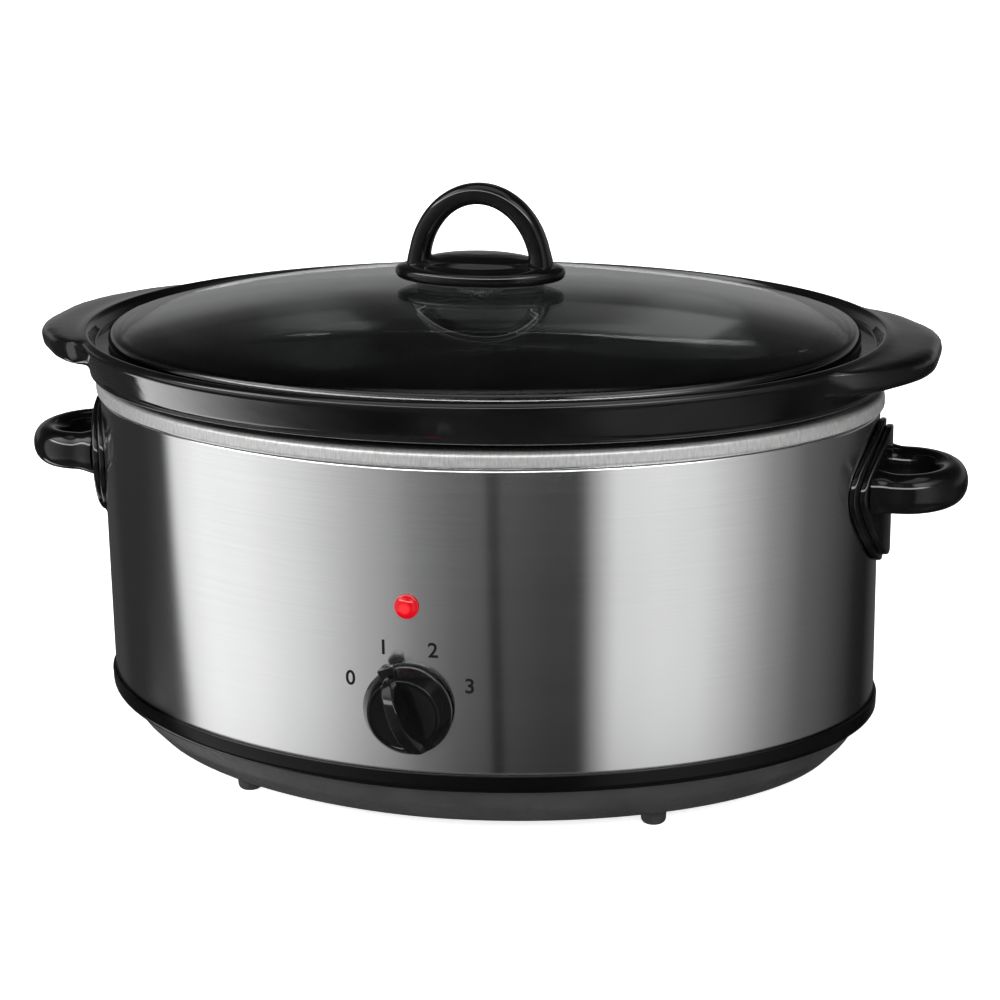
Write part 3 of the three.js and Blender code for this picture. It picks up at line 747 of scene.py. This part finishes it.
def plate(name, near, far, inset, ease, side):
    """A slab that follows the wrap between two distances from it, with its front edge rounded."""
    profile = softened([
        (0.6, near, 0.0),
        (0.0, near, 0.4),
        (0.0, far, ease),
        (ease * 1.6, far, 0.5),
    ], steps=6)

    def ring(outline, off, share=1.0):
        return [
            (
                side * (wrap_reach(y * share) + off),
                side * y * share,
                PLATE_MIDDLE + (z - PLATE_MIDDLE) * share,
            )
            for y, z in outline
        ]

    shares = (0.15, 0.4, 0.65, 0.85)
    back = [ring(plate_outline(inset + profile[0][0]), near, share) for share in shares]
    rim_shade = [ring(plate_outline(inset + e), off) for e, off in profile]
    front = [ring(plate_outline(inset + profile[-1][0]), far, share) for share in reversed(shares)]
    return skin(name, [*back, *rim_shade, *front], sharp=45)


GRIP_Z = 133
GRIP_HALF = 22.25
GRIP_BEND = 181
GRIP_WIDE = 6.75
GRIP_TALL = 8.25


def grip(name, side):
    reach = GRIP_HIGH.x - GRIP_WIDE - GRIP_BEND
    root = wrap_reach(GRIP_HALF) + 3.6
    flat = [(root + (GRIP_BEND - root) * i / 8, -GRIP_HALF) for i in range(8)]
    for i in range(49):
        turn = math.pi * i / 48
        flat.append((GRIP_BEND + reach * math.sin(turn), -GRIP_HALF * math.cos(turn)))
    flat += [(x, -y) for x, y in reversed(flat[:8])]
    widths, heights = [], []
    for x, y in flat:
        near_plate = smooth(1 - (x - root) / 9) if abs(y) > GRIP_HALF - 0.01 else 0
        widths.append(GRIP_WIDE + 1.6 * near_plate)
        heights.append(GRIP_TALL + 1.6 * near_plate)
    spine = [(side * x, side * y, GRIP_Z) for x, y in flat]
    return swept(name, spine, widths, heights, 2.15, 48)


def side_handles():
    for name, side in (("right", 1), ("left", -1)):
        spacer = plate("handle_spacer_pad_" + name, GAP, 2.6, 0, 0.9, side)
        dressed(spacer, "gloss_black_plastic", "housing", "handle_spacer_" + name)
        body = plate("plate", 2.9, 5.6, 2.6, 1.4, side)
        piece = fused("side_handle_moulded_" + name, body, grip("grip", side), sharp=32)
        dressed(piece, "gloss_black_plastic", "housing", "side_handle_" + name)


# ---- controls ----

KNOB_RADIUS = 18.2
KNOB_BACK = 124.1
KNOB_FACE = 132.5
KNOB_CREST = -KNOB_LOW.y
KNOB_TURN = 22.5
POINTER_HALF = 3.3
POINTER_REACH = 21.2


def bar(name, top_half, foot_half, front, near, far, ends):
    """A ridge along +Y on the knob, its front following a curve. Ends is how slowly it narrows."""
    rings = []
    for i in range(73):
        share = 0.5 - 0.5 * math.cos(math.pi * i / 72)
        v = near + (far - near) * share
        top = front(v)
        low = min(KNOB_BACK + 4, top - 0.4)
        pinch = min(1.0, math.sin(math.pi * share) / ends + 0.2)
        section = softened([
            (-foot_half * pinch, low, 0.1),
            (-top_half * pinch, top, 0.6),
            (top_half * pinch, top, 0.6),
            (foot_half * pinch, low, 0.1),
        ], closed=True, steps=5)
        rings.append([(u, v, w) for u, w in section])
    return skin(name, rings, sharp=50)


def plug(name, radius, depth):
    """What is taken out of the back of the knob."""
    return lathed(name, [
        (0.5, KNOB_BACK - 4, 0),
        (radius, KNOB_BACK - 4, 0),
        (radius, KNOB_BACK + depth, 0),
        (0.5, KNOB_BACK + depth, 0),
    ])


def ridge_front(v):
    bow = max(0.0, 1 - (v / (KNOB_RADIUS - 0.4)) ** 2)
    return KNOB_FACE - 4.4 + (KNOB_CREST - KNOB_FACE + 4.4) * bow ** 0.6


def nub_front(v):
    return KNOB_BACK + 6.6 - 0.7 * smooth((v - POINTER_REACH + 1.8) / 1.8)


def control_knob():
    disc = lathed("disc", [
        (0.5, KNOB_BACK, 0),
        (KNOB_RADIUS - 0.4, KNOB_BACK, 0.2),
        (KNOB_RADIUS, KNOB_BACK + 0.4, 0.2),
        (KNOB_RADIUS, KNOB_BACK + 2.4, 0.6),
        (KNOB_RADIUS - 3.5, KNOB_FACE - 0.2, 0.5),
        (KNOB_RADIUS - 4.2, KNOB_FACE, 0.3),
        (KNOB_RADIUS - 5, KNOB_FACE - 0.4, 0.5),
        (8, KNOB_FACE - 0.5, 0.5),
        (0.5, KNOB_FACE - 0.5, 0),
    ], 180, sharp=50)
    ridge = bar("ridge", 2.3, 4.6, ridge_front, 0.3 - KNOB_RADIUS, KNOB_RADIUS - 0.3, 0.5)
    nub = bar("nub", POINTER_HALF, POINTER_HALF + 0.2, nub_front, 12.5, POINTER_REACH, 0.6)
    bores = (plug("shaft_bore", 3.3, 13), plug("nut_recess", 8.6, 3.5))
    piece = fused("control_knob_moulded", disc, ridge, nub, bores=bores, sharp=50)
    turn = Matrix.Rotation(math.radians(KNOB_TURN), 4, "Z")
    moved(piece, place(0, 0, KNOB_Z) @ FACE_FRONT @ turn)
    return dressed(piece, "gloss_black_plastic", "knob", "control_knob", finish=KNOB_FINISH)


def indicator_lens():
    flange = BODY_B + GAP
    piece = lathed("indicator_lens_moulded", [
        (0.8, 117.5, 0),
        (3.3, 117.5, 0.3),
        (3.3, flange, 0.1),
        (4.9, flange, 0.2),
        (4.9, flange + 0.9, 0.5),
        (4.2, flange + 2.0, 1.2),
        (2.4, flange + 2.9, 1.2),
        (0.6, flange + 3.1, 0),
    ], 72)
    moved(piece, place(0, 0, LAMP_Z) @ FACE_FRONT)
    return dressed(piece, "red_lens", "housing", "indicator_lens")


def cord_gland():
    flange = BODY_B + GAP
    piece = lathed("cord_gland_moulded", [
        (4.4, 117, 0.3),
        (6.7, 117, 0.3),
        (6.7, flange, 0.1),
        (10.5, flange, 0.3),
        (10.5, flange + 1.2, 0.5),
        (9.4, flange + 3, 0.8),
        (6.8, flange + 4.5, 0.7),
        (4.4, flange + 4.5, 0.5),
    ], 72, closed=True)
    moved(piece, place(0, 0, GLAND_Z) @ FACE_BACK)
    return dressed(piece, "satin_black_plastic", "housing", "cord_gland")


DIAL_RADIUS = 26.5
NUMERAL_SIZE = 8.6
NUMERAL_WEIGHT = 0.14
NUMERAL_TURNS = (67.5, 22.5, -22.5, -67.5)
INK_RAISE = 0.05
INK_BACK = 0.01


def dial_numerals():
    """Numbers round the knob, printed on the curve of the wrap."""
    for number, turn in enumerate(NUMERAL_TURNS):
        curve = bpy.data.curves.new(f"numeral_{number}", "FONT")
        curve.body = str(number)
        curve.size = NUMERAL_SIZE * MM
        curve.align_x = "CENTER"
        curve.align_y = "CENTER"
        curve.resolution_u = 6
        curve.offset = NUMERAL_WEIGHT * MM
        text = new_object(f"numeral_{number}", curve)
        bpy.context.view_layer.update()
        mesh = bpy.data.meshes.new_from_object(text)
        bpy.data.objects.remove(text)
        angle = math.radians(turn)
        middle_x = -DIAL_RADIUS * math.sin(angle)
        middle_z = KNOB_Z + DIAL_RADIUS * math.cos(angle)
        work = bmesh.new()
        work.from_mesh(mesh)
        bmesh.ops.triangulate(work, faces=work.faces)
        bmesh.ops.subdivide_edges(work, edges=work.edges, cuts=1)
        grown = bmesh.ops.extrude_face_region(work, geom=work.faces[:])
        raised = {v for v in grown["geom"] if isinstance(v, bmesh.types.BMVert)}
        for vertex in work.verts:
            x = vertex.co.x / MM + middle_x
            z = vertex.co.y / MM + middle_z
            front = BODY_B * (1 - (abs(x) / BODY_A) ** BODY_N) ** (1 / BODY_N)
            off = INK_RAISE if vertex in raised else INK_BACK
            vertex.co = Vector((x, -front - off, z)) * MM
        work.to_mesh(mesh)
        work.free()
        piece = new_object(f"dial_numeral_{number}", finish_mesh(mesh, 30))
        piece.data.materials.clear()
        piece.data.materials.append(INK_FINISH.material)
        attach(piece, "housing")


# ---- crock ----

RIM_A, RIM_B = 174.5, 143.0
LUG_OUTLINE = [
    (0, 193.6), (12, 193.6), (20, 192.7), (28.25, 190.2), (36.6, 186), (45, 180.2),
    (50.2, 176.6), (54.75, 172.6), (58.7, 168), (62, 163), (66, 150), (80, 104),
]


def lug_reach(y):
    y = abs(y)
    if y >= LUG_OUTLINE[-1][0]:
        return -1e3
    for (y0, x0), (y1, x1) in zip(LUG_OUTLINE, LUG_OUTLINE[1:]):
        if y <= y1:
            return x0 + (x1 - x0) * (y - y0) / (y1 - y0)
    return -1e3


# How softly a lug grows out of the rim, in square millimetres.
LUG_FILLET = 6.0


def lug_extra(x, y):
    """How far the lug stands out beyond the rim, along X, with a hollow fillet where it starts."""
    over = lug_reach(y) - abs(x)
    return 0.5 * (over + math.sqrt(over * over + LUG_FILLET)) - 0.02 if over > -60 else 0.0


RIM_TOP = node_box("crock")[1].z
COLLAR_FOOT = 173.2


def collar_ring(z):
    """The collar's outer face, which leans out towards the rim."""
    share = (z - COLLAR_FOOT - 1.4) / (RIM_TOP - 4.5 - COLLAR_FOOT - 1.4)
    return (171.5 + 2.7 * share, 129.9 + 11.3 * share, z)


# Section of a lug: share of its reach, its height, and the height on the collar that it grows from.
LUG_SECTION = [
    (0.0, 179.6, 177.2),
    (0.05, 180.3, 178.6),
    (0.16, 180.9, 180.0),
    (0.38, 181.2, 181.2),
    (0.62, 181.3, 182.3),
    (0.8, 181.6, 183.3),
    (0.9, 182.3, 184.2),
    (0.96, 183.4, 185.0),
    (0.99, 184.7, 185.8),
    (1.0, 186.0, 186.5),
    (1.0, 187.3, 187.2),
    (0.985, 188.7, 187.8),
    (0.955, 189.8, 188.3),
    (0.9, 190.8, 188.9),
    (0.8, 191.4, 189.6),
    (0.6, 191.7, 190.4),
]


def crock():
    n = 2.0
    outside = softened([
        (104, 57, BODY_N, 50.2, 0),
        (111, 64, BODY_N, 50.2, 1.2),
        (113, 66, BODY_N, 48.5, 1.2),
        (118, 71, BODY_N, 48.5, 2.5),
        (134, 87, BODY_N, 53, 8),
        (143, 96, BODY_N, 66, 8),
        (148, 101, BODY_N, 84, 10),
        (156.4, 109.4, BODY_N, 168, 1.5),
        (159.8, 112.8, BODY_N, 169.5, 1.2),
        (164.5, 117.5, BODY_N, 169.5, 0.8),
        (165.5, 118.5, BODY_N, 170.8, 0.8),
        (169, 124, n, COLLAR_FOOT - 1, 0.8),
        (171.3, 128.3, n, COLLAR_FOOT, 0.8),
        (172.0, 129.9, n, COLLAR_FOOT + 0.9, 0.6),
        (171.5, 129.9, n, COLLAR_FOOT + 1.8, 0.4),
        (*collar_ring(COLLAR_FOOT + 3)[:2], n, COLLAR_FOOT + 3, 0),
    ], steps=4)
    rim = [
        (174.5, 142.6, RIM_TOP - 2.6),
        (174.55, 142.9, RIM_TOP - 2.0),
        (174.3, 142.8, RIM_TOP - 1.35),
        (173.7, 142.2, RIM_TOP - 0.75),
        (172.9, 141.4, RIM_TOP - 0.3),
    ]
    lug = [(collar_ring(base), share, z) for share, z, base in LUG_SECTION]
    lug[-1] = (rim[0], *lug[-1][1:])
    lug += [
        (ring, share, RIM_TOP - drop)
        for ring, share, drop in zip(rim[1:], (0.4, 0.2, 0.08, 0.02), (0.85, 0.7, 0.5, 0.28))
    ]
    inside = softened([
        (172.0, 140.6, n, RIM_TOP, 0.3),
        (170.8, 139.6, n, RIM_TOP, 0.8),
        (169.3, 138.6, n, RIM_TOP - 1.6, 0.8),
        (167.4, 136.6, n, 187.25, 0.9),
        (155.5, 121.5, n, 187.2, 1.0),
        (153.5, 119, n, 184.2, 1.6),
        (150, 105, n, 168, 6),
        (141, 94, BODY_N, 92, 8),
        (136, 89, BODY_N, 74, 8),
        (127, 80, BODY_N, 61, 8),
        (108, 61, BODY_N, 56.6, 12),
        (60, 34, BODY_N, 56.5, 0),
        (20, 11, BODY_N, 56.5, 0),
    ], steps=5)
    angles = turns(BODY_SIDES)
    rings = [oval_ring(r, angles) for r in outside]
    for (a, b, z), share, lug_z in lug:
        ring = []
        for t in angles:
            x, y = oval_point(a, b, n, t)
            rim_x, rim_y = oval_point(RIM_A, RIM_B, n, t)
            extra = lug_extra(rim_x, rim_y)
            weight = smooth(extra / 7.0)
            out_x = max(abs(rim_x) + extra * share - (1 - share), abs(x))
            px, py, pz = mixed((abs(x), y, z), (out_x, y, lug_z), weight)
            ring.append((math.copysign(px, math.cos(t)), py, pz))
        rings.append(ring)
    rings += [oval_ring(r, angles) for r in inside]
    piece = skin("stoneware_crock", rings, sharp=60)
    return dressed(piece, "black_glaze", "crock", "crock")


# ---- lid ----

LID_A, LID_B, LID_N = 161.0, 131.0, 2.06
GLASS_EDGE_TOP = 192.5
GLASS_CROWN = 210.0
GLASS_THICKNESS = 4.0


def dome_height(share):
    return GLASS_EDGE_TOP + (GLASS_CROWN - GLASS_EDGE_TOP) * (1 - share ** 2.2)


def lid_glass():
    def ring(share, z, ease=0.0):
        return (LID_A * share, LID_B * share, LID_N, z, ease)

    shares = [0.02, 0.08, 0.16, 0.24, 0.32, 0.4, 0.48, 0.56, 0.64, 0.72, 0.8, 0.87, 0.93]
    under = [ring(s, dome_height(s) - GLASS_THICKNESS) for s in shares]
    top = [ring(s, dome_height(s)) for s in reversed([*shares, 0.965])]
    rim_shade = [
        ring(0.97, 188.8, 1.5),
        ring(0.985, 187.5, 0.9),
        ring(0.995, 187.5, 0.8),
        ring(1.0, 188.5, 0.9),
        ring(1.0, 190.6, 1.6),
        ring(0.991, 192.9, 1.6),
    ]
    piece = lofted("lid_glass_domed", [*under, *rim_shade, *top], False, 320, 60, steps=5)
    return dressed(piece, "clear_glass", "lid", "lid_glass")


HANDLE_BASE = node_box("lid_handle")[0].z
ARCH_OUTER = 31.2
ARCH_THIN = 4.5
ARCH_DEEP = 5.5


def lid_handle():
    base = lofted("base", [
        (8, 4.6, 2, HANDLE_BASE, 0),
        (33, 19, 2, HANDLE_BASE, 1.0),
        (36, 22, 2, HANDLE_BASE + 1, 1.4),
        (37, 23, 2, HANDLE_BASE + 3, 1.4),
        (36.4, 22.4, 2, HANDLE_BASE + 5.2, 1.2),
        (33, 19.5, 2, HANDLE_BASE + 6.4, 2.0),
        (28, 16.6, 2, HANDLE_BASE + 6.9, 1.6),
        (23, 13.5, 2, HANDLE_BASE + 9.3, 3),
        (15, 9, 2, HANDLE_BASE + 10.7, 4),
        (6, 3.5, 2, HANDLE_BASE + 11.1, 2),
        (1, 0.6, 2, HANDLE_BASE + 11.1, 0),
    ], False, 160, steps=6)
    half = ARCH_OUTER - ARCH_THIN
    foot = 216.0
    rise = ARCH_TOP - ARCH_THIN - foot
    spine, widths, depths = [], [], []
    for i in range(73):
        turn = math.pi * i / 72
        spine.append((-half * math.cos(turn), 0, foot + rise * math.sin(turn)))
        flare = smooth(1 - (spine[-1][2] - 217.5) / 7)
        widths.append(ARCH_THIN + 0.5 * flare)
        depths.append(ARCH_DEEP + 1.1 * flare)
    arch = swept("arch", spine, widths, depths, 2.7, 56, (0, 1, 0))
    piece = fused("lid_handle_moulded", base, arch, sharp=32)
    return dressed(piece, "gloss_black_plastic", "lid", "lid_handle")


def lid_hardware():
    low, high = node_box("lid_screw")
    piece = lathed("lid_screw_turned", [
        (0.9, low.z + 1.0, 0),
        (2.2, low.z + 1.0, 0.1),
        (2.4, low.z, 0.3),
        (3.6, low.z, 0.8),
        (4.6, low.z + 1.4, 0.5),
        (4.6, low.z + 3, 0.2),
        (2.4, low.z + 3, 0.1),
        (2.4, high.z - 0.3, 0.3),
        (0.9, high.z, 0),
    ], 48)
    dressed(piece, "plated_steel", "lid", "lid_screw")
    low, high = node_box("lid_screw_washer")
    washer = lathed("lid_screw_washer_pressed", [
        (2.7, low.z, 0.2),
        (high.x, low.z, 0.3),
        (high.x, high.z, 0.3),
        (2.7, high.z, 0.2),
    ], 64, closed=True)
    dressed(washer, "plated_steel", "lid", "lid_screw_washer")


# ---- carried-over CAD nodes ----

CARRIED = {
    "mica_tape": ["heater_band"],
    "glass_fibre": ["insulation_blanket"],
    "aluminised_steel": ["heat_shield"],
    "plated_steel": [
        "centre_stud", "centre_washer", "centre_nut", "handle_bracket_right", "handle_bracket_left",
        "handle_screw_right_lower", "handle_screw_right_upper", "handle_screw_left_lower",
        "handle_screw_left_upper", "switch_nut", "switch_shaft", "fuse_clip",
    ],
    "switch_plastic": ["rotary_switch"],
    "white_ceramic": ["indicator_lamp", "thermal_fuse", "terminal_block"],
    "wire_sleeve": [
        "wire_block_to_fuse", "wire_block_to_switch", "wire_switch_to_lamp", "wire_fuse_to_heater",
    ],
    "clear_silicone": ["lid_handle_seal"],
}


def dress_carried_nodes():
    for slot, names in CARRIED.items():
        for name in names:
            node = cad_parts[name]
            node.data.materials.clear()
            node.data.materials.append(FINISHES[slot].material)


# ---- studio ----

TARGET = Vector((0, 0, 118.25)) * MM
CAMERA_AZIMUTH = 14.5
CAMERA_ELEVATION = 15.94
CAMERA_DISTANCE = 1.1
CAMERA_LENS = 91.1
CAMERA_ROLL = -0.94
CAMERA_SHIFT = (0.0164, -0.0094)


def add_camera():
    data = bpy.data.cameras.new("camera")
    camera = new_object("camera", data)
    a, e = math.radians(CAMERA_AZIMUTH), math.radians(CAMERA_ELEVATION)
    back = Vector((math.sin(a) * math.cos(e), -math.cos(a) * math.cos(e), math.sin(e)))
    facing = (-back).to_track_quat("-Z", "Y").to_matrix().to_4x4()
    roll = Matrix.Rotation(math.radians(CAMERA_ROLL), 4, "Z")
    camera.matrix_world = Matrix.Translation(TARGET + back * CAMERA_DISTANCE) @ facing @ roll
    data.lens = CAMERA_LENS
    data.sensor_width = 36
    data.shift_x, data.shift_y = CAMERA_SHIFT
    data.clip_start, data.clip_end = 0.01, 100
    bpy.context.scene.camera = camera


def add_floor():
    work = bmesh.new()
    bmesh.ops.create_circle(work, cap_ends=True, segments=96, radius=14)
    mesh = bpy.data.meshes.new("floor")
    work.to_mesh(mesh)
    work.free()
    floor = new_object("floor", mesh)
    material = bpy.data.materials.new("pale_floor")
    material.use_nodes = True
    surface = material.node_tree.nodes["Principled BSDF"]
    surface.inputs["Base Color"].default_value = (0.93, 0.93, 0.93, 1)
    surface.inputs["Roughness"].default_value = 0.9
    surface.inputs["Specular IOR Level"].default_value = 0.0
    surface.inputs["Emission Color"].default_value = (1, 1, 1, 1)
    surface.inputs["Emission Strength"].default_value = 0.8
    mesh.materials.append(material)
    floor.visible_glossy = False
    floor.visible_shadow = False


# Brightness of the light tent's walls at each bearing, in degrees from the front, rising towards the right.
TENT = [
    (-180, 0.10), (-146, 0.06), (-131, 0.06), (-122, 0.035), (-98, 0.04), (-88, 0.07), (-84, 1.1),
    (-74, 1.3), (-60, 1.22), (-44, 0.92), (-30, 0.56), (-14, 0.27), (-4, 0.15), (4.2, 0.1),
    (5.7, 0.02), (7.2, 0.02), (8.6, 0.075), (18, 0.05), (26.3, 0.04), (29.5, 0.4), (34.5, 0.93),
    (46, 1.02), (57, 0.96), (68, 0.68), (80, 0.36), (95, 0.16), (118, 0.07), (132, 0.02),
    (146, 0.012), (160, 0.06), (180, 0.10),
]
# Brightness of the backdrop behind the object at each height, in degrees above the horizon.
BACKDROP = [
    (-10, 0.08), (0, 0.28), (7, 0.33), (11, 0.27), (15, 0.12), (19, 0.06), (27, 0.025),
    (38, 0.012), (60, 0.008),
]


class Tent:
    """World light as a function of bearing and height, in degrees."""

    def __init__(self):
        world = bpy.data.worlds.new("tent")
        bpy.context.scene.world = world
        world.use_nodes = True
        self.tree = world.node_tree
        self.background = self.tree.nodes["Background"]
        place_of = self.made("TexCoord").outputs["Generated"]
        apart = self.made("SeparateXYZ")
        self.tree.links.new(place_of, apart.inputs[0])
        x, y, z = apart.outputs
        turn = self.math("ARCTAN2", x, self.math("MULTIPLY", y, -1.0))
        self.bearing = self.math("MULTIPLY", turn, 180 / math.pi)
        self.height = self.math("MULTIPLY", self.math("ARCSINE", z), 180 / math.pi)
        self.aside = self.math("ABSOLUTE", self.bearing)

    def made(self, kind):
        return self.tree.nodes.new("ShaderNode" + kind)

    def feed(self, socket, value):
        if isinstance(value, bpy.types.NodeSocket):
            self.tree.links.new(value, socket)
        else:
            socket.default_value = value

    def math(self, operation, first, second=0.0, third=0.0):
        node = self.made("Math")
        node.operation = operation
        for socket, value in zip(node.inputs, (first, second, third)):
            self.feed(socket, value)
        return node.outputs[0]

    def product(self, first, *others):
        for other in others:
            first = self.math("MULTIPLY", first, other)
        return first

    def total(self, first, *others):
        for other in others:
            first = self.math("ADD", first, other)
        return first

    def step(self, value, start, end, low=0.0, high=1.0):
        node = self.made("MapRange")
        node.interpolation_type = "SMOOTHSTEP"
        self.feed(node.inputs["Value"], value)
        for key, number in (("From Min", start), ("From Max", end), ("To Min", low), ("To Max", high)):
            node.inputs[key].default_value = number
        return node.outputs["Result"]

    def window(self, value, start, full, fade, end):
        return self.product(self.step(value, start, full), self.step(value, fade, end, 1.0, 0.0))

    def panel(self, bearings, heights, level):
        """A patch of light with soft edges. Each way it goes (start, full, fade, end)."""
        across = self.window(self.bearing, *bearings)
        return self.product(across, self.window(self.height, *heights), level)

    def ramp(self, value, stops):
        """Brightness read off a run of (degrees, level)."""
        first, last = stops[0][0], stops[-1][0]
        share = self.made("MapRange")
        self.feed(share.inputs["Value"], value)
        share.inputs["From Min"].default_value = first
        share.inputs["From Max"].default_value = last
        ramp = self.made("ValToRGB")
        self.feed(ramp.inputs[0], share.outputs["Result"])
        elements = ramp.color_ramp.elements
        while len(elements) < len(stops):
            elements.new(0.5)
        peak = max(level for _, level in stops)
        for element, (degrees, level) in zip(elements, stops):
            element.position = (degrees - first) / (last - first)
            element.color = (level / peak, level / peak, level / peak, 1)
        return self.math("MULTIPLY", ramp.outputs["Color"], peak)

    def light(self):
        front = self.step(self.aside, 100, 112, 1.0, 0.0)
        strips = self.math("MULTIPLY_ADD", self.product(self.step(self.height, 32, 40), front), 3.0, 1.0)
        walls = self.product(
            self.ramp(self.bearing, TENT),
            strips,
            self.step(self.height, -42, -30, 0.1, 1.0),
            self.step(self.height, 50, 60, 1.0, 0.0),
        )
        behind = self.product(self.step(self.aside, 106, 120), self.step(self.height, -10, -2))
        drop = self.ramp(self.height, BACKDROP)
        shell = self.total(
            self.product(walls, self.math("SUBTRACT", 1.0, behind)),
            self.product(drop, behind),
        )
        overhead = self.product(self.step(self.height, 58, 68), 1.2)
        tube = self.panel((-88, -70, 40, 70), (24, 26, 31, 33), 14.0)
        low_left = self.panel((-122, -120.5, -119, -101), (-72, -43, -35, -29), 3.0)
        low_right = self.panel((76, 88, 106, 116), (-86, -76, -64, -42), 0.25)
        lid_left = self.panel((-160.2, -159.4, -158, -153), (19, 20.5, 26.5, 28), 0.05)
        lid_right = self.panel((-176.6, -175.8, -175, -165), (17, 18.5, 26.5, 28), 0.2)
        return self.total(shell, overhead, tube, low_left, low_right, lid_left, lid_right)


def add_tent():
    """A tent of soft light with a dim backdrop. The camera itself sees plain white instead."""
    tent = Tent()
    camera_sees = tent.made("LightPath").outputs["Is Camera Ray"]
    hidden = tent.math("SUBTRACT", 1.0, camera_sees)
    tent.feed(tent.background.inputs["Color"], tent.total(tent.product(tent.light(), hidden), camera_sees))
    tent.background.inputs["Strength"].default_value = 1.0


def settle_view():
    view = bpy.context.scene.view_settings
    view.view_transform = "Standard"
    view.look = "None"


# ---- assembly ----

add_camera()
add_floor()
add_tent()
settle_view()
steel_wrap()
rim_band()
heating_bowl()
base_pan()
feet()
side_handles()
control_knob()
indicator_lens()
cord_gland()
dial_numerals()
crock()
lid_glass()
lid_handle()
lid_hardware()
dress_carried_nodes()

bpy.context.view_layer.update()
